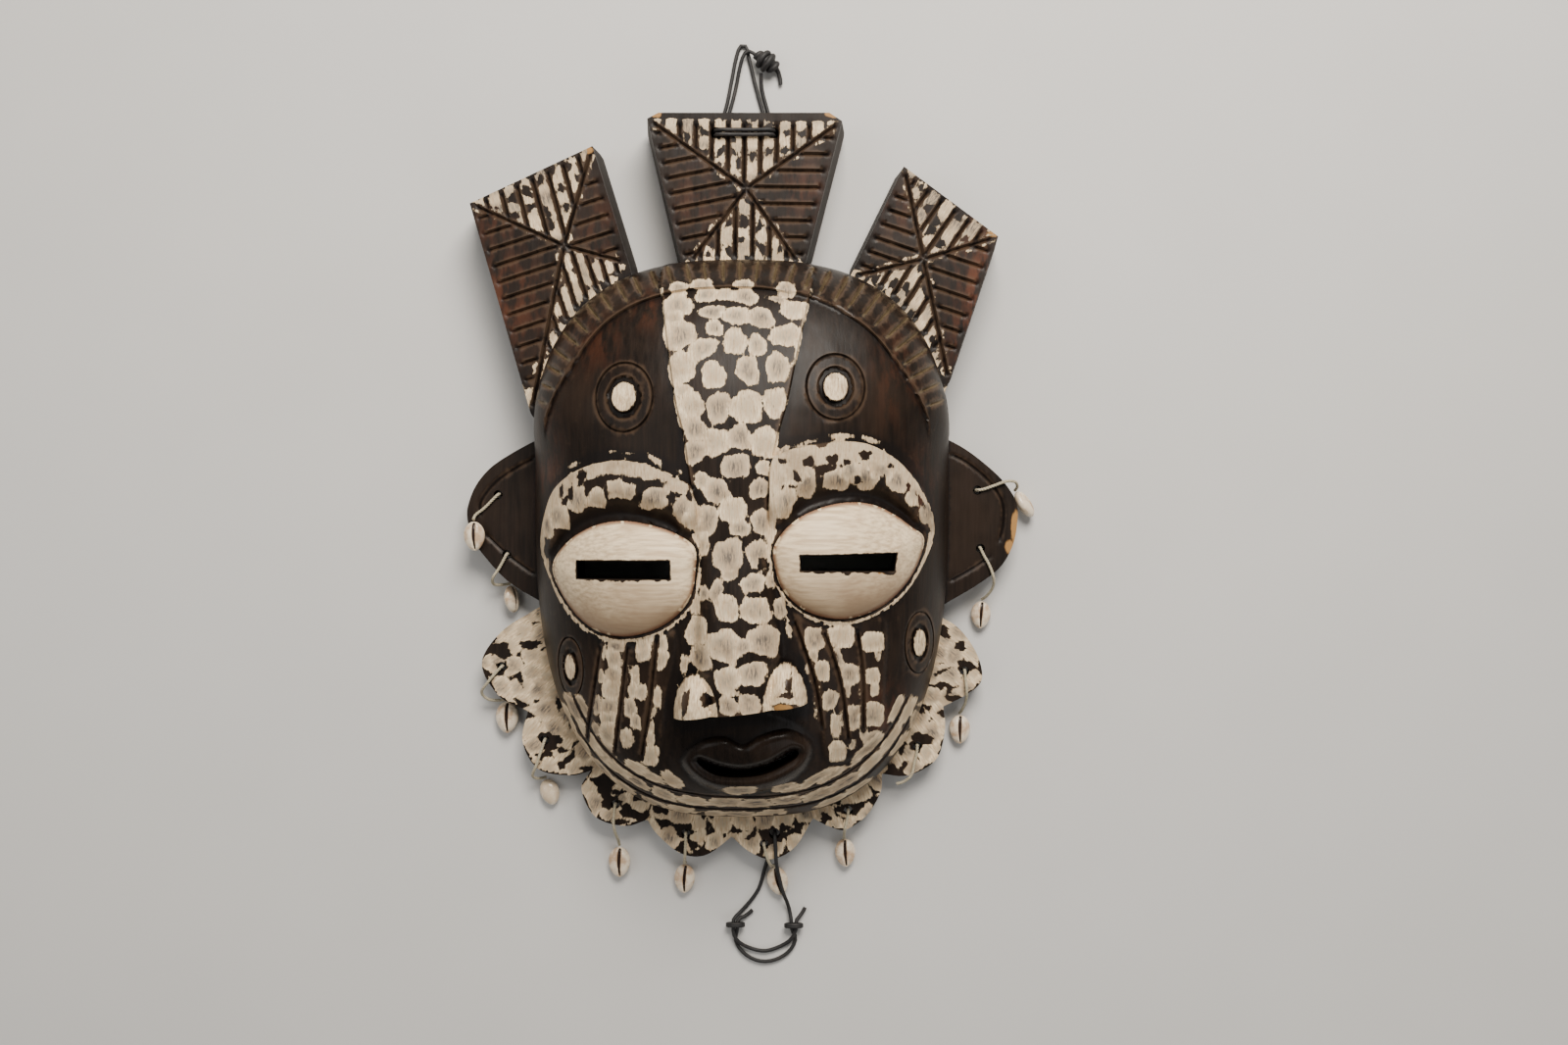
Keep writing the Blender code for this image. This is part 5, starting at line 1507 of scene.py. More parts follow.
unpainted, thickest = -3.0, 6.0  # bounds of the cover, in millimetres inside the paint's edge
stripeDabs = [
    (-37, 117.5, 5, 4), (-37.5, 109.5, 11, 7), (-39, 100.5, 7, 4.5), (-19.5, 116.5, 7.5, 6),
    (-8.5, 116.5, 6.2, 5), (3.7, 115, 7.8, 6), (24, 113, 9.5, 2.2, -0.25), (28.5, 117, 5.5, 3.2),
    (33, 106.5, 9.5, 6), (41.5, 108, 2.5, 3.5), (-16.3, 104.8, 8, 5), (-1.8, 102.5, 8.5, 6.5),
    (13.4, 101, 8.4, 7), (-35, 90, 10.5, 8.5, 0.3), (-14.7, 94.7, 6, 5), (-2.2, 86.1, 8, 8.2),
    (28.3, 90, 10, 7.6), (-21.3, 81.8, 9.6, 6.6, 0.2), (11.1, 83.8, 6.2, 7),
    (-34.2, 69.7, 9.2, 10.8), (-14.7, 65.4, 8.2, 8.4), (5.6, 68.5, 7.4, 9.4), (23.2, 70, 7, 10.6),
    (-33, 56, 5.8, 4.8), (-28, 47, 8.8, 8), (-34, 38.5, 3.5, 6), (-11.6, 45.9, 7.7, 10),
    (4.8, 46.2, 9.6, 11.2), (21.6, 49, 7.6, 9), (-25.6, 33, 7.5, 7.2), (-13.1, 25.2, 8, 9.4),
    (0.9, 28.3, 7.6, 7.4), (15.8, 24.8, 10, 9.2), (-25.6, 19.7, 7.6, 7.4), (-1.4, 10.3, 9.8, 8.2),
    (15, 10, 4.6, 5.2), (-21, 2.5, 5, 5.8), (-12.3, -3.8, 8, 7.8), (12.7, -2.2, 6.6, 6.4),
    (-17.8, -21, 6.6, 9.8), (-24, -19.5, 3, 9), (-2.6, -15.5, 9.4, 7.8), (1.3, -25.6, 6.6, 5.4),
    (13.8, -21.7, 6.6, 7.8), (-21, -35, 5, 7), (-5.7, -42, 10, 10.4), (12.3, -41.3, 7.8, 9),
    (-5, -53, 5, 4), (19.7, -55.6, 3.3, 6.5), (-25, -55, 3, 6), (-11.6, -62.7, 5.6, 7.2),
    (8.8, -58.4, 7.8, 6.6), (-6.5, -72.4, 7.6, 8.6), (10.3, -73.2, 9.8, 8.8), (24.8, -73.6, 4.3, 7),
    (-25.6, -71, 3.3, 8), (-20, -64, 3, 5), (-24.8, -86.9, 7.5, 9.2), (-22.5, -102.5, 7.2, 8),
    (-33, -106.8, 3, 6.5), (-7.7, -94.7, 10.4, 11), (15, -92.3, 9.8, 11), (3, -95, 6, 5),
    (8.8, -110.3, 8.8, 8.4), (-6, -115, 8.6, 8.4), (-5.3, -129.8, 6, 6.4), (6.8, -129, 7, 7.8),
    (-38.5, -121.6, 2.5, 4.5), (31, -84, 3.2, 7),
]
stripeGaps = [
    (-0.4, 1.7, 4, 3), (14.8, -46.7, 3.2, 3.4), (9.5, -64.8, 4.3, 1.6), (-4.8, -61, 4.2, 3),
    (8.8, -101.8, 8.5, 2.3), (5.6, -120.5, 4.5, 1.6),
]
browDabs = {
    "left": [
        (-126, -38, 3.6, 9), (-111.8, -18.5, 7.6, 8.5), (-119, -24, 4, 8, 0.3), (-97.5, -8, 7, 7.5),
        (-85, -7.5, 6.5, 5.5), (-72.5, -1.8, 6.8, 6.4), (-64.5, -3.5, 3.8, 5),
        (-49.5, -7.5, 9, 6.8), (-33, -14, 5.4, 7.5), (-29.5, -21.5, 2.8, 5),
    ],
    "right": [
        (27.3, -10.3, 5.9, 9), (40.5, 1, 5, 10), (33, 6, 6, 6), (58.5, 3.2, 8.8, 6.2),
        (76.5, 6, 9.8, 7), (66, 9, 6, 5), (95, 3.5, 7.5, 6.8), (86, 9, 7, 6), (106, -4, 5.5, 7.5),
        (115.5, -15.5, 5.6, 8.5, 0.5),
    ],
}
browGaps = {
    "left": [
        (-95, 5.1, 2.4, 5, -0.3), (-108.4, -3.6, 0.9, 3.6), (-102, -4.5, 1.4, 4.2),
        (-82.2, 2.2, 2.8, 3.2), (-75, 5, 6.5, 1.5), (-52, 0.9, 8.3, 1.6), (-59, -4, 1.7, 5.2),
        (-38.7, -7.4, 2.8, 2.2), (-28.5, -6.5, 1.4, 2.4), (-79, -3.5, 1.1, 3.4),
        (-91.5, -2, 1.2, 3.6),
    ],
    "right": [
        (41.8, 13.4, 3.3, 2.8), (55.7, 15, 3.4, 2.8), (75.4, 17.9, 3.2, 2.7), (71.2, 3, 1.9, 2.2),
        (26.4, 13.8, 2.6, 1.3), (102.2, 0, 1.2, 2.5), (49, 2, 1.2, 4), (91, 12, 1.6, 1.3),
        (64.5, 13.5, 2, 1.6), (34.5, 4.5, 1.6, 3.4, 0.4), (86.5, 2.5, 1.4, 3.4),
        (110.5, -9, 1.2, 3.6, 0.5), (50, 23.5, 2.6, 1.2, 0.3), (92, 19.5, 2.2, 1.2, -0.4),
    ],
}
browBand = {"left": 0.72, "right": 0.62}  # the brow is painted outside this share of its width
loneDabs = [  # beside the brows and over the headband's edge
    (-101.6, 12.9, 4.4, 1.6, 0.35), (-49.5, 15, 5.5, 2.2, -0.6), (-35, 8, 2.3, 1.2, -0.6),
    (-76, 20.5, 2.4, 1, 0.1), (-66, 19, 4, 1, -0.1), (41, 24.5, 7.5, 2.1, 0.4),
    (62, 29.5, 7.4, 2, 0), (79, 27.5, 7.2, 1.8, -0.3), (26.6, 20.5, 6.5, 2.2, 0.5),
    (-37, 120.5, 6.5, 4.8, 0.2), (-22.5, 122, 7.5, 5.4), (3, 122, 6.5, 5),
    (28.3, 120, 7, 4.8, -0.15),
]
cheekDabs = [
    (-82.3, -100, 1.9, 5.2), (-74, -97, 6, 3.7), (-76, -104.5, 4.6, 5.6), (-69.8, -110.5, 2.8, 6.5),
    (-85, -116, 2.9, 5), (-76.6, -115, 5.4, 4.9), (-78.3, -125, 6.1, 6.2), (-74, -132.5, 2.2, 3.6),
    (-88.5, -134.7, 3.2, 6.8), (-80.3, -135.3, 5.2, 5.4), (-80.5, -143, 5.7, 4.4),
    (-89.6, -150.8, 3, 4.8), (-82, -153, 5.3, 7.5), (-90.6, -163.5, 2.5, 3.4),
    (-83, -165.5, 5.6, 5.4), (-63, -113, 2.9, 4.6), (-62.9, -118, 2.8, 3.6),
    (-64.7, -124, 2.8, 5.2), (-66.4, -135, 3.9, 6.2), (-69.5, -155, 3.5, 7),
    (-63.3, -143.5, 3, 5.5), (-73, -154, 1.6, 5), (-57.5, -99, 4.6, 6.8), (-48, -94, 5.6, 5.4),
    (-46.6, -104.5, 4, 6.4, -0.35), (-59.2, -125, 3.6, 5.2), (-49.6, -127.5, 2.9, 7.4),
    (-52.6, -136.5, 2.3, 3.2), (-54.5, -145, 2.6, 5.8), (-55, -154, 3.4, 4.8),
    (-55.5, -165.5, 5.8, 6.6), (-65, -154, 0.9, 4), (45.5, -92, 6.8, 6.8), (44.6, -102, 2.9, 3.8),
    (61.5, -90.5, 7.8, 6.8), (59.8, -104, 2.9, 7.5, 0.4), (66.5, -114, 5.8, 6.4),
    (65, -123.5, 2.6, 4.4), (80.5, -94.5, 7.2, 6.4), (84.2, -103, 1.8, 3.6), (74, -114, 2.4, 5.5),
    (73.5, -124, 1.3, 4.6), (81, -116, 4.7, 5.4), (82.5, -124, 3, 4.2), (49.8, -111.5, 5, 6.2),
    (44, -115.5, 2.2, 9, 0.45), (55, -129.5, 4.6, 6.2), (47.3, -134.5, 2.2, 7),
    (58.6, -146, 3.1, 8), (64, -142, 3, 5.5), (70, -141, 4.3, 8.5), (81, -140, 7.5, 8),
    (76.3, -151.5, 2.8, 4), (60, -163, 5.6, 6.6), (69, -158.5, 2.6, 3.8), (82, -156, 6.5, 4.4, 0.6),
    (75, -166, 9, 2.8, 0.85),
]
chinDabs = [
    (-77.6, -176.4, 9, 3.5, -0.5), (-65, -174, 8.5, 4.3, -0.45), (-42.4, -181.5, 4.4, 8.5, 0.75),
    (-86, -170, 4, 3), (47, -181, 14, 3.3, 0.55), (31, -190, 8, 3.4, 0.45),
]
beardGaps = [
    (-159.3, -105.3, 9, 4.2, -0.25), (-138.4, -101.7, 5.5, 2.6), (-145.2, -123.5, 1.6, 4, 0.3),
    (-144.5, -140, 4.5, 1.6, -0.5), (-157, -117, 3.2, 3.2), (-126, -164.7, 7, 5.6, -0.3),
    (-117.6, -170.7, 3, 1.5), (-86.4, -204, 6, 4.2), (-81.1, -197.8, 4.8, 1.3),
    (-80, -217.5, 4.5, 1.6), (-37.5, -224.6, 5.2, 3.2), (-32.5, -232, 3.5, 2.4, -0.6),
    (-68.5, -213, 3, 2), (-76, -208, 2.2, 2.8), (-53, -208, 4.5, 4.5), (-66, -200, 4.5, 4.2),
    (-26, -210, 2.5, 4), (-22.5, -219, 1.2, 4), (20.5, -226.5, 6.6, 4.8), (14.5, -232, 2.6, 3.2),
    (6, -226, 3.8, 1.2, 0.6), (27, -221, 3.4, 2), (22, -210.5, 2.2, 2.4), (39.5, -205, 1, 6, 0.1),
    (34.5, -218.5, 1.6, 1.2), (67.5, -209, 5.8, 3.2), (54, -214.5, 3, 3, 0.5), (62, -204, 2.4, 1.6),
    (87, -204, 2.6, 4.4, -0.3), (97.4, -185, 4, 5), (93, -177, 2.5, 3),
    (115.9, -164.4, 7.5, 4.5, 0.35), (114, -170, 2, 3), (115, -142.5, 2, 5, 0.8),
    (131.5, -146.5, 3.5, 2), (129, -120, 5, 0.8, 0.5), (145.4, -116.6, 5.2, 4.5),
    (142.4, -103, 2.8, 2.9), (156.9, -118.4, 3.2, 2.5), (137.5, -137, 4.5, 2), (135, -131, 1.4, 3),
    (129, -92, 7, 3, -0.6), (-119, -140, 2.4, 4), (-101, -183, 4, 2), (-112, -150, 1.2, 4),
    (104, -170, 1.4, 3.6, -0.4),
]


def dabRow(rng, line, count, wide, high, offset=0.0, jitter=1.2, skip=0.0):
    # dabs along a line, turned with it
    along = np.concatenate([[0], np.cumsum(np.hypot(*np.diff(line, axis=0).T))])
    made = []
    for k in range(count):
        at = (k + 0.5 + offset) / count * along[-1]
        place, ahead, behind = (
            np.array([np.interp(at + d, along, line[:, 0]), np.interp(at + d, along, line[:, 1])])
            for d in (0, 1, -1)
        )
        way = unit(ahead - behind)
        if rng.random() < skip:
            continue
        made.append((
            place[0] + rng.uniform(-jitter, jitter), place[1] + rng.uniform(-jitter, jitter),
            wide * rng.uniform(0.86, 1.14), high * rng.uniform(0.86, 1.14),
            math.atan2(way[1], way[0]) + rng.uniform(-0.12, 0.12),
        ))
    return made


def chinRows(rng):
    made = []
    for share, count, high in ((0.880, 9, 3.6), (0.929, 14, 4.0), (0.974, 15, 3.4)):
        arc = domeContour(share, 2.0, math.radians(214), math.radians(326))
        made += dabRow(rng, arc, count, 11.5, high, jitter=0.8, skip=0.08)
    return made


def beardRows(rng):
    made = []
    for row, share in enumerate((1.02, 1.09, 1.165, 1.24, 1.315, 1.39)):
        arc = domeContour(share, 2.0, math.radians(190), math.radians(350))
        count = round(np.hypot(*np.diff(arc, axis=0).T).sum() / 13.5)
        made += dabRow(rng, arc, count, 7.4, 7.7, 0.5 * (row % 2), jitter=2.6, skip=0.02)
    return made


def turnedBy(dx, dy, turn):
    c, s = math.cos(turn), math.sin(turn)
    return dx * c + dy * s, dy * c - dx * s


def layDabs(x, y, allowed, dabs, layers, rng, square=2.3, wobbly=1.0, grow=1.0):
    # cover: millimetres inside the dabs' edge; rim: 0 in a dab's middle to 1 at its edge
    for dab in dabs:
        cx, cy, wide, high = dab[0], dab[1], dab[2] * grow, dab[3] * grow
        turn = dab[4] if len(dab) > 4 else rng.uniform(-0.1, 0.1)
        own = rng.uniform(0, 50)
        reach = max(wide, high) * 1.3
        near = np.nonzero((np.abs(x - cx) < reach) & (np.abs(y - cy) < reach) & allowed)[0]
        if not len(near):
            continue
        u, v = turnedBy(x[near] - cx, y[near] - cy, turn)
        around = np.arctan2(v / high, u / wide)
        wobble = 1 + wobbly * (
            0.08 * np.sin(2 * around + own) + 0.07 * np.sin(3 * around + 2.3 * own)
            + 0.05 * np.sin(5 * around + own * 3) + 0.035 * np.sin(9 * around + own * 5)
        )
        q = (np.abs(u / wide) ** square + np.abs(v / high) ** square) ** (1 / square) / wobble
        inner = (1 - q) * min(wide, high)
        on = inner > 0
        layers["cover"][near] = np.maximum(layers["cover"][near], inner)
        layers["rim"][near[on]] = q[on]
        layers["tone"][near[on]] = own / 50


def bareSpots(x, y, spots, cover):
    # worn or unpainted places inside the paint
    for spot in spots:
        cx, cy, wide, high = spot[:4]
        turn = spot[4] if len(spot) > 4 else 0.0
        reach = max(wide, high) * 1.8 + 3
        near = np.nonzero((np.abs(x - cx) < reach) & (np.abs(y - cy) < reach))[0]
        u, v = turnedBy(x[near] - cx, y[near] - cy, turn)
        around = np.arctan2(v / high, u / wide)
        wobble = 1 + 0.2 * np.sin(3 * around + cx) + 0.12 * np.sin(5 * around + cy)
        wobble += 0.08 * np.sin(8 * around + cx)
        q = np.hypot(u / wide, v / high) / wobble
        cover[near] = np.minimum(cover[near], (q - 1) * min(wide, high))


def stripPaint(board, x, y, onBoard, layers, rng):
    # the strips between the cuts of a crown board's top and bottom fields
    cross = np.array(board["cross"], float)
    for f in (0, 2):
        a, b, way = boardFields(board)[f]
        inside = np.nonzero(isInside(np.array([a, b, cross]), x, y) & onBoard)[0]
        px, py = x[inside], y[inside]
        side = np.array([-way[1], way[0]])
        span = float((b - a) @ side)
        count = max(2, round(float(np.linalg.norm(b - a)) / cutSpacing))
        u = ((px - a[0]) * side[0] + (py - a[1]) * side[1]) / span * count
        number = np.clip(np.floor(u), 0, count - 1)
        left, right = u - number, number + 1 - u
        left = np.where(number == 0, 9.0, left)
        right = np.where(number == count - 1, 9.0, right)
        part = np.minimum(left, right) * abs(span) / count - cutHalfWidth + 0.55
        for corner in (a, b):
            clear = distance(np.array([corner, cross]), px, py, reach=60.0)
            part = np.minimum(part, clear - cutHalfWidth + 0.2)
        tones = np.array([rng.random() for _ in range(count)])[number.astype(int)]
        spots = []
        for k in range(count):
            start, reach = cutAcross(board, a, b, way, (k + 0.5) / count)
            d = rng.uniform(3.0, 16.0)
            while d < reach:
                p = start + way * d + side * rng.uniform(-2.6, 2.6)
                turn = math.atan2(way[1], way[0]) + rng.uniform(-0.8, 0.8)
                spots.append((*p, rng.uniform(1.6, 4.6), rng.uniform(1.4, 3.4), turn))
                d += rng.uniform(7.0, 26.0)
        bareSpots(px, py, spots, part)
        along = (px - a[0]) * way[0] + (py - a[1]) * way[1]
        cells = drift(number * 3.7 + f, along, 1, 9, 2.2)
        layers["cover"][inside] = np.maximum(layers["cover"][inside], part)
        layers["rim"][inside] = np.clip(0.55 + 1.1 * cells, 0, 1)
        layers["tone"][inside] = tones


def crownDabs(rng):
    # slivers across the diagonals, and dabs where the side boards meet the dome
    made = []
    for board in crownBoards.values():
        cross = np.array(board["cross"], float)
        for f in (0, 2):
            for corner in boardFields(board)[f][:2]:
                line = np.array([corner + (cross - corner) * 0.04, cross])
                made += dabRow(rng, line, 7, 5.0, 3.4, jitter=0.8, skip=0.28)
    return made + [
        (-141, 58, 3.2, 8), (-134, 58, 4.2, 7), (-128, 76, 5, 9), (131, 58, 5, 7),
        (137.5, 62, 2.5, 7),
    ]


def patches(x, y, places):
    made = np.zeros(x.shape)
    for cx, cy, wide, high, amount in places:
        made = np.maximum(made, amount * np.exp(-((x - cx) / wide) ** 2 - ((y - cy) / high) ** 2))
    return made


def paintBetter(layers, part, rim, tone=None):
    # only where this paint reaches further than what is there
    better = part > layers["cover"]
    layers["cover"][better], layers["rim"][better] = part[better], rim
    if tone is not None:
        layers["tone"][better] = tone


def paintFace(x, y, onBoard, inEyes, wander, layers, rng):
    # paints stripe, cheeks and chin, and returns the rest of the dome for the lone dabs
    share = domeShare(x, y)
    left, right = stripeSides(y)
    onDome = ~onBoard
    onStripe = onDome & (x > left - 0.4) & (x < right + 0.4) & (y > noseFootAt(x))
    onStripe &= share < bandEdge(x, y) + 0.004
    for side, way in ((left, 1), (right, -1)):  # slivers along the stripe's edges
        line = 1.0 + 2.4 * wander - np.abs(x - side - way * 0.8)
        line = np.where((y < 122) & (y > -40) & onDome & ~inEyes, line, unpainted)
        paintBetter(layers, line, 0.9)
    layDabs(x, y, onStripe & ~inEyes, stripeDabs, layers, rng)
    bareSpots(x, y, stripeGaps, layers["cover"])
    onCheek = onDome & ~inEyes & ~onStripe & (y < -80) & (share < 0.93)
    layDabs(x, y, onCheek, cheekDabs, layers, rng, 3.0, 0.7, 1.1)
    onChin = onDome & (y < -128) & (share > 0.862)
    layDabs(x, y, onChin, chinRows(rng), layers, rng, square=2.8)
    layDabs(x, y, onDome & (y < -160), chinDabs, layers, rng, square=2.8)
    return onDome & ~inEyes & ~onStripe


def paintBoards(x, y, onBoard, layers, rng):
    beard = np.vstack([np.array(lobe, float) for lobe in beardLobes])
    onBeard = onBoard & isInside(grown(beard, 1.0), x, y)
    layDabs(x, y, onBeard, beardRows(rng), layers, rng, square=2.6)
    bareSpots(x, y, beardGaps, layers["cover"])
    layDabs(x, y, onBoard & (y > 30), crownDabs(rng), layers, rng)
    for board in crownBoards.values():
        stripPaint(board, x, y, onBoard, layers, rng)


def paintBrow(name, spread, x, y, wander, layers, rng):
    share, reach, _, browReach = spread
    width = np.maximum(browReach - reach, 0.5)
    t = (share * reach - reach) / width
    inBrow, wide = (share > 1) & (t < 1), width > 9
    band = np.minimum((t - browBand[name]) * width, (1 - t) * width + 0.4) + 2.0 * wander
    ring = np.minimum((t - 0.42) * width, (1 - t) * width + 0.6) + 0.4 + 1.2 * wander
    layDabs(x, y, inBrow & (width > 7), browDabs[name], layers, rng, wobbly=1.3, grow=1.1)
    paintBetter(layers, np.where(inBrow & wide, band, unpainted), 0.7, 0.3)
    paintBetter(layers, np.where(inBrow & ~wide, ring, unpainted), 0.95, 0.3)
    gaps = np.full(x.shape, -unpainted)
    bareSpots(x, y, browGaps[name], gaps)
    layers["cover"][inBrow] = np.minimum(layers["cover"], gaps)[inBrow]


def clearCuts(x, y, wander, cover):
    # paint lies between the cuts, not in them
    for line, half, _, where in grooves():
        if where != "band":
            clear = distance(line, x, y, reach=4.0) - half * (0.9 if where == "chin" else 1.05)
            clear = clear + 0.7 * np.clip(wander, 0, 1) * (where != "board")
            cover[:] = np.minimum(cover, np.maximum(clear, unpainted))


def paintKnobs(x, y, wander, layers):
    # the nostrils, painted all over but for a few dark places, and the roundels' middles
    cover, rim, tone = layers["cover"], layers["rim"], layers["tone"]
    for nostril, spots in zip(nostrils, mask["nostrilSpots"]):
        q = ovalShare(nostril, x, y)
        part = (1 - q) * nostril["radii"][0]
        bareSpots(x, y, spots, part)
        on = (q < 1) & (y > noseFootAt(x) + 0.6)
        cover[on], rim[on], tone[on] = part[on], 0.85, 0.8
    for roundel in roundels:
        q = ovalShare(roundel, x, y)
        on = q < moatEdge
        part = (0.42 + 0.03 * wander - q) * roundel["radii"][0]
        cover[on], rim[on], tone[on] = part[on], 1.0, 1.0


def paintEyes(x, y, inBall, spreads, wander):
    # the balls' paint, how low on the ball a point is for the painted shade, and its distance from
    # the ball's edge
    paint, low, edge = np.full(x.shape, unpainted), np.zeros(x.shape), np.full(x.shape, thickest)
    chipped = np.zeros(x.shape)
    chipped[inBall] = np.clip(drift(x[inBall], y[inBall], 3.4, 2.4, 4.4) * 2.2 + 0.35, 0, 1)
    for name, eye in eyes.items():
        share, reach = spreads[name][:2]
        part = (1 - share) * reach - 0.2
        slot = np.array(eye["slot"], float)
        worn = distance(straight(slot, 1.0, True), x, y, True)
        under = y < slot[2:, 1].mean() + 1.5
        chips = chipped * np.where(under, 0.55 + 1.6 * np.clip(wander, 0, 1), 0.18)
        paint = np.maximum(paint, np.minimum(part, worn - mask["slotWear"] * chips - 0.3))
        edge = np.where(share < 1, np.clip(part, 0, thickest), edge)
        ys = np.array(eye["ball"], float)[:, 1]
        low = np.where(share < 1, (ys.max() - y) / (ys.max() - ys.min()), low)
    return np.clip(paint, unpainted, thickest), low, edge


def paintAt(x, y, onBoard):
    rng = random.Random(mask["paintSeed"])
    cover, rim, tone = np.full(x.shape, unpainted), np.ones(x.shape), np.full(x.shape, 0.5)
    layers = {"cover": cover, "rim": rim, "tone": tone}
    wander = drift(x, y, 9, 14, 1.7)
    spreads = {name: eyeSpread(eye, x, y) for name, eye in eyes.items()}
    inBall = np.any([share < 1 for share, _, _, _ in spreads.values()], axis=0)
    inEyes = np.any([browShare < 1 for _, _, browShare, _ in spreads.values()], axis=0)
    aside = paintFace(x, y, onBoard, inEyes, wander, layers, rng)
    paintBoards(x, y, onBoard, layers, rng)
    for name, spread in spreads.items():
        paintBrow(name, spread, x, y, wander, layers, rng)
    layDabs(x, y, aside, loneDabs, layers, rng)
    clearCuts(x, y, wander, cover)
    paintKnobs(x, y, wander, layers)
    cover[inBall] = unpainted
    layers["cover"] = np.clip(cover, unpainted, thickest)
    layers["eye"], layers["eyeLowShade"], layers["eyeRim"] = paintEyes(x, y, inBall, spreads, wander)
    return layers


def brushWay(x, y, onBoard):
    # across and along the brush: down the face, round the beard, along the crown's cuts
    across, along = x.copy(), y.copy()
    beard = (onBoard & (y < -70)) | ((~onBoard) & (y < -128) & (domeShare(x, y) > 0.86))
    # about millimetres round the face, and out from its middle
    across[beard] = np.arctan2(x, -(y - faceMiddle))[beard] * 190
    along[beard] = domeShare(x, y)[beard] * 200
    chin = beard & ~onBoard
    across[chin], along[chin] = along[chin].copy() * 1.4, across[chin].copy()
    for board in crownBoards.values():
        inBoard = onBoard & isInside(np.array(board["corners"], float), x, y)
        _, _, way = boardFields(board)[0]
        across[inBoard] = (x * way[1] - y * way[0])[inBoard]
        along[inBoard] = (x * way[0] + y * way[1])[inBoard]
    return across, along


def softened(values, edges, rounds):
    # repeated averaging over the net's edges
    a, b = edges
    count = len(values)
    number = np.maximum(np.bincount(a, minlength=count) + np.bincount(b, minlength=count), 1)
    for _ in range(rounds):
        total = np.bincount(a, values[b], count) + np.bincount(b, values[a], count)
        values = 0.5 * values + 0.5 * total / number
    return values


# The mask

mask = dict(
    waviness=0.42,  # millimetres, of the long waves
    knifeDepth=0.16,
    boardWaviness=0.6,  # the boards have this share of the face's waves
    backStep=6.0,
    wallRows=5,
    paintSeed=11,
    slotWear=2.2,
    stainTones=((0.0078, 0.0051, 0.0037), (0.0165, 0.0101, 0.0067)),
    cloudTone=(0.029, 0.0168, 0.0107),
    redTone=(0.135, 0.042, 0.018),
    # painted shade and dirt, near black, in recesses, creases and over the crown boards
    shadeAndDirtTone=(0.0055, 0.0042, 0.0040),
    rubbedTone=(0.10, 0.062, 0.038),
    gougeTones=((0.040, 0.029, 0.017), (0.120, 0.085, 0.046)),
    bareTone=(0.36, 0.19, 0.065),
    creamTones=((0.50, 0.35, 0.21), (0.97, 0.79, 0.53)),
    dullTone=(0.46, 0.34, 0.225),
    thinTone=(0.125, 0.105, 0.088),
    sootTone=(0.27, 0.195, 0.125),
    eyeTones=((0.58, 0.43, 0.27), (0.92, 0.74, 0.49)),
    # painted shade, browner, on the balls' lower part
    eyeShadeTone=(0.33, 0.22, 0.135),
    eyeEdgeTone=(0.20, 0.085, 0.048),
    # dark places on the nostrils, as dabs are given
    nostrilSpots=[
        [(-31.5, -129.0, 1.9, 7.5, -0.15), (-17.8, -126.7, 4.2, 3.6)],
        [(29.8, -118.0, 1.7, 4.6, -0.1), (29.0, -123.5, 3.6, 1.7), (26.7, -131.4, 6.6, 2.8, 0.1)],
    ],
    # patches of wood: a place, half its width and height, and how strong it is
    bareWood=[
        (178, -25, 4, 12, 1.0), (174, -38, 4, 7, 0.7), (26.7, -131.0, 6.0, 2.4, 1.0),
        (84, -53.5, 6, 2.5, 0.8), (-55, 238, 7, 3, 0.8), (58, 238, 8, 3, 0.9),
        (-98, 215, 7, 3, 0.7), (160, 162, 5, 4, 0.8), (-165, 184, 6, 3, 0.5),
    ],
    redWood=[
        (-150, 118, 20, 30, 0.7), (-158, 165, 14, 12, 0.4), (152, 128, 14, 34, 1.0),
        (142, 96, 9, 20, 0.9), (-30, 182, 14, 20, 0.35), (40, 190, 14, 18, 0.4),
        (100, 175, 12, 14, 0.35), (-92, 165, 12, 24, 0.35), (-88, 88, 16, 18, 0.25),
        (96, 70, 14, 30, 0.2), (-56, 108, 8, 12, 0.35), (110, -5, 10, 22, 0.35),
        (88, -140, 16, 16, 0.35), (-120, 10, 10, 30, 0.3),
    ],
)


def woodColour(add, place, grain):
    redness, recessShadeAndDirt, edge, gouge, bare = (
        attribute(add, name) for name in ("redness", "recessShadeAndDirt", "edgeWear", "gouge", "bareWood")
    )
    cloud = speckle(add, place, (22, 14, 22), detail=3)
    rub = speckle(add, place, (160, 60, 120), detail=4)
    rubDrift = value(add, "SUBTRACT", rub, 0.5)
    dark = blendColour(add, between(add, grain, 0.32, 0.72), *mask["stainTones"])
    dark = blendColour(add, between(add, cloud, 0.42, 0.68, 0.0, 0.55), dark, mask["cloudTone"])
    red = value(add, "MULTIPLY", redness, between(add, rub, 0.40, 0.62))
    dark = blendColour(add, red, dark, mask["redTone"])
    # painted shade and dirt, darkest in recesses and creases
    shadedAndDirty = between(add, plus(add, recessShadeAndDirt, rubDrift, 0.5), 0.15, 1.3)
    dark = blendColour(add, value(add, "MULTIPLY", shadedAndDirty, 0.7), dark, mask["shadeAndDirtTone"])
    rubbed = between(add, plus(add, edge, rubDrift, 0.9), 0.16, 0.62)
    dark = blendColour(add, value(add, "MULTIPLY", rubbed, 0.45), dark, mask["rubbedTone"])
    gouged = between(add, plus(add, gouge, rubDrift, 0.9), 0.25, 0.75)
    dark = blendColour(add, gouged, dark, blendColour(add, rub, *mask["gougeTones"]))
    bared = between(add, plus(add, bare, rubDrift, 0.8), 0.42, 0.62)
    return blendColour(add, bared, dark, mask["bareTone"])


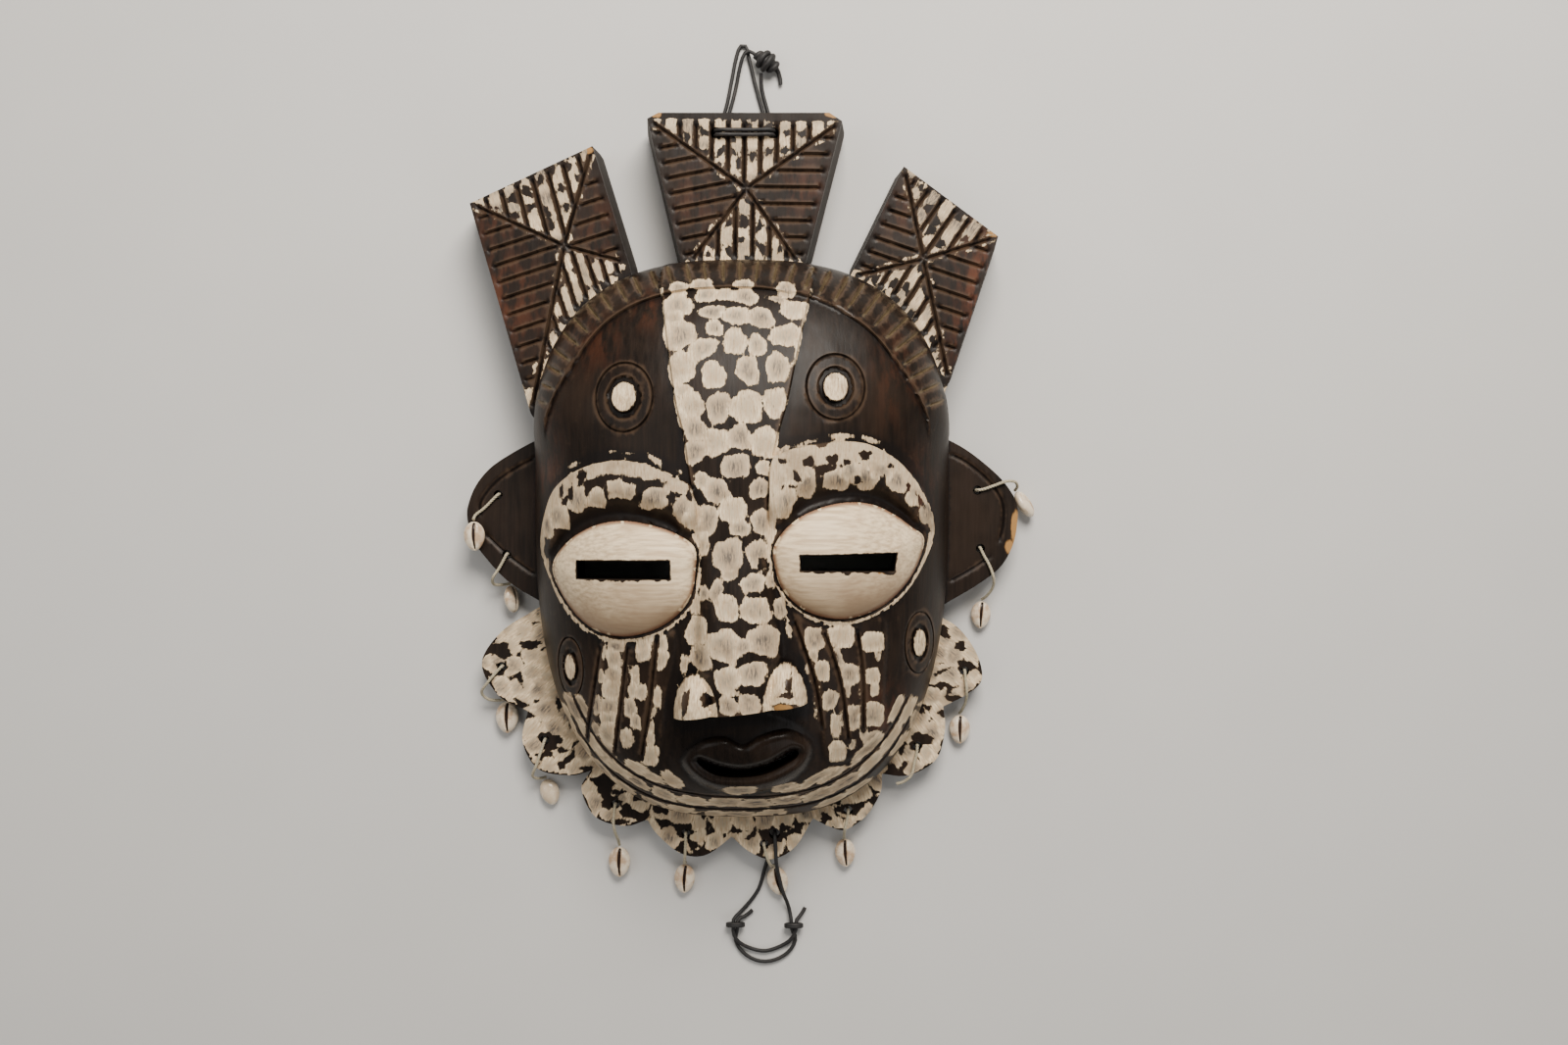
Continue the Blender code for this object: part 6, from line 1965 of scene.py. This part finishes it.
def paintLayer(add, place, brush, streak):
    # dabs of paint, thin and streaky in the middle and ragged at the edge
    cover, rim, tone = (attribute(add, name) for name in ("paintCover", "paintRim", "paintTone"))
    tear = speckle(add, brush, (0.55, 0.16, 1), detail=5, roughness=0.7)
    soot = speckle(add, place, (70, 70, 70), detail=4, roughness=0.6)
    scratch = speckle(add, brush, (1.5, 0.10, 1), detail=3, roughness=0.7)
    painted = between(add, plus(add, cover, value(add, "SUBTRACT", tear, 0.5), 3.8), 0.12, 0.62)
    scratched = value(add, "MULTIPLY", between(add, scratch, 0.62, 0.70), 0.8)
    painted = value(add, "MULTIPLY", painted, value(add, "SUBTRACT", 1.0, scratched))
    cream = blendColour(add, between(add, streak, 0.32, 0.68), *mask["creamTones"])
    cream = blendColour(add, between(add, tone, 0.55, 0.05, 0.0, 0.42), cream, mask["dullTone"])
    thin = value(add, "MULTIPLY", between(add, rim, 0.95, 0.20), between(add, streak, 0.34, 0.60))
    thin = value(add, "MULTIPLY", thin, between(add, tone, 1.0, 0.2, 0.45, 1.0))
    cream = blendColour(add, thin, cream, mask["thinTone"])
    cream = blendColour(add, between(add, soot, 0.50, 0.72, 0.0, 0.55), cream, mask["sootTone"])
    return painted, cream


def eyeLayer(add, place):
    # smooth, with brush marks from side to side, and browner low down as painted shade
    eyeball, low, edge = (attribute(add, name) for name in ("eyePaint", "eyeLowShade", "eyeRim"))
    fleck = speckle(add, place, (1100, 1100, 1100), detail=2)
    swept = speckle(add, place, (24, 520, 300), detail=4, roughness=0.6)
    shadeNoise = speckle(add, place, (26, 40, 26), detail=3)
    white = blendColour(add, between(add, swept, 0.3, 0.7), *mask["eyeTones"])
    # painted shade: browner towards the bottom of each ball, broken up by noise
    lowShade = plus(add, low, value(add, "SUBTRACT", shadeNoise, 0.5), 0.9)
    lowShade = between(add, lowShade, 0.30, 1.0, 0.0, 0.9)
    white = blendColour(add, lowShade, white, mask["eyeShadeTone"])
    white = blendColour(add, between(add, edge, 3.0, 0.4, 0.0, 0.85), white, mask["eyeEdgeTone"])
    onEye = value(add, "ADD", eyeball, value(add, "SUBTRACT", fleck, 0.5))
    return between(add, onEye, -0.1, 0.25), white


def carvedWood():
    made, add, shader = newFinish("stained and painted wood")
    place, brush = objectPlace(add), attribute(add, "brushWay", "Vector")
    grain = speckle(add, place, (420, 34, 300), detail=5, roughness=0.6)
    streak = speckle(add, brush, (0.95, 0.15, 1), detail=5, roughness=0.7)
    wood = woodColour(add, place, grain)
    painted, cream = paintLayer(add, place, brush, streak)
    onEye, white = eyeLayer(add, place)
    colour = blendColour(add, onEye, blendColour(add, painted, wood, cream), white)
    polish = value(add, "MULTIPLY", attribute(add, "gloss"), 0.14)
    rough = value(add, "SUBTRACT", plus(add, 0.34, grain, 0.16), polish)
    rough = plus(add, rough, painted, 0.14)
    height = value(add, "MULTIPLY", value(add, "MAXIMUM", painted, onEye), 0.30)
    height = plus(add, height, grain, 0.22)
    height = plus(add, height, value(add, "MULTIPLY", streak, painted), 0.6)
    setInputs(shader, {
        "Base Color": colour, "Roughness": rough, "Specular IOR Level": 0.16,
        "Normal": bumpOf(add, height, 0.6, 0.0009),
    })
    return made


def closedNet(flat, faces, frontZ, rim):
    # front, back, and walls from each edge point of the front to the same one of the back
    back, backFaces, toBack = backSheet(flat, rim)
    backZ = backHeight(back[:, 0], back[:, 1])
    ids = sorted({i for edge in rim for i in edge})
    row = {i: k for k, i in enumerate(ids)}
    behind = np.array([toBack[i] for i in ids])
    spread = backSpread(flat, rim)
    back[behind] += np.array([spread.get(i, np.zeros(2)) for i in ids])
    rows = mask["wallRows"]
    top = np.column_stack([flat[ids], frontZ[ids]])
    low = np.column_stack([back[behind], backZ[behind]])
    walls = [top + (low - top) * k / rows for k in range(1, rows)]
    verts = np.vstack([np.column_stack([flat, frontZ]), np.column_stack([back, backZ])] + walls)
    base = len(flat) + len(back)
    levels = [np.array(ids)]
    levels += [base + k * len(ids) + np.arange(len(ids)) for k in range(rows - 1)]
    levels.append(len(flat) + behind)
    a, b = np.array([(row[p], row[q]) for p, q in rim]).T
    sides = []
    for upper, under in zip(levels, levels[1:]):
        sides.append(np.stack([upper[b], upper[a], under[a]], axis=1))
        sides.append(np.stack([upper[b], under[a], under[b]], axis=1))
    return verts, np.vstack([faces, backFaces[:, ::-1] + len(flat)] + sides)


def wear(x, y, z, faces, onBoard):
    # worn edges, painted shade and dirt in recesses and creases and over the crown boards, gouged
    # notches and gloss at each point of the front
    net = (faces.T.ravel(), np.roll(faces, -1, axis=1).T.ravel())
    near, wide = softened(z, net, 2), softened(z, net, 40)
    share = domeShare(x, y)
    edge = np.clip((z - near) * 2.2, 0, 1) * np.where((share > 0.975) & (share < 1.002), 0.3, 1.0)
    edge = softened(edge, net, 1)
    # painted shade and dirt: darker where the surface lies below its surroundings or in a crease
    recessShadeAndDirt = np.clip((wide - z) * 0.9, 0, 2) * (share < 0.97) + np.clip((near - z) * 3.0, 0, 2)
    gouge = np.zeros(len(z))
    for line, half, _, where in grooves():
        if where == "band":
            cut = grooveDepth(line, half, 1.0, x, y)
            gouge = np.maximum(gouge, np.clip(cut * 2.6 - 0.25, 0, 0.9))
            recessShadeAndDirt = recessShadeAndDirt * (cut < 0.3)
    # the crown boards darkened all over as painted shade
    recessShadeAndDirt = recessShadeAndDirt + 0.6 * (onBoard & (y > 30))
    onLips = isInside(curve(lips, outlineStep, True), x, y)
    gloss = np.where(onLips, 1.0, 0.0)
    gloss = np.maximum(gloss, 0.7 * (share > bandEdge(x, y)) * (~onBoard) * (y > 60))
    for nostril in nostrils:
        gloss = np.where(ovalShare(nostril, x, y) < 1, 1.0, gloss)
    return edge * ~onLips, recessShadeAndDirt, gouge, gloss


def feedFinish(data, flat, z, faces, onBoard):
    # what the finish needs to know at each point; walls and back have one value of each
    x, y = flat[:, 0], flat[:, 1]
    edge, recessShadeAndDirt, gouge, gloss = wear(x, y, z, faces, onBoard)
    paint = paintAt(x, y, onBoard)
    for name, values, rest in (
        ("paintCover", paint["cover"], unpainted), ("paintRim", paint["rim"], 1.0),
        ("paintTone", paint["tone"], 0.5), ("eyePaint", paint["eye"], unpainted),
        ("eyeLowShade", paint["eyeLowShade"], 0.0), ("eyeRim", paint["eyeRim"], thickest),
        ("edgeWear", edge, 0.0), ("recessShadeAndDirt", recessShadeAndDirt, 0.25),
        ("redness", patches(x, y, mask["redWood"]), 0.0),
        ("bareWood", patches(x, y, mask["bareWood"]), 0.0),
        ("gloss", gloss, -1.5), ("gouge", gouge, 0.0),
    ):
        full = np.full(len(data.vertices), rest, np.float32)
        full[: len(flat)] = values
        data.attributes.new(name, "FLOAT", "POINT").data.foreach_set("value", full)
    vectors = np.zeros((len(data.vertices), 3), np.float32)
    vectors[: len(flat), :2] = np.stack(brushWay(x, y, onBoard), axis=1)
    layer = data.attributes.new("brushWay", "FLOAT_VECTOR", "POINT")
    layer.data.foreach_set("vector", vectors.ravel())


def carveMask():
    lines = [(unrolled(line), closed) for line, closed in frontLines()]
    points = fillPoints(fillStep, np.vstack([line for line, _ in lines]), 0.55 * fillStep)
    flat, faces = netThrough(points, lines)
    flat = unrolled(flat, back=True)
    faces = keptFaces(flat, faces)
    used = np.unique(faces)
    flat, faces = flat[used], np.searchsorted(used, faces)
    print("mask: front net", len(flat), "points")
    frontZ, onBoard = frontHeight(flat[:, 0], flat[:, 1])
    verts, allFaces = closedNet(flat, faces, frontZ, rimEdges(faces))
    data = bpy.data.meshes.new("carved_mask")
    data.from_pydata((verts / 1000).tolist(), [], allFaces.tolist())
    mesh = bmesh.new()
    mesh.from_mesh(data)
    bmesh.ops.recalc_face_normals(mesh, faces=mesh.faces)
    mesh.to_mesh(data)
    openEdges = sum(1 for e in mesh.edges if len(e.link_faces) != 2)
    mesh.free()
    print("mask: net of", len(allFaces), "triangles, open edges", openEdges)
    feedFinish(data, flat, frontZ, faces, onBoard)
    data.shade_smooth()
    data.set_sharp_from_angle(angle=math.radians(50))
    data.materials.append(carvedWood())
    settle(link(bpy.data.objects.new("carved_mask", data)), "wood", "mask")
    print("mask: painted")


tieCords()
hangShells()
carveMask()
print("all pieces made")
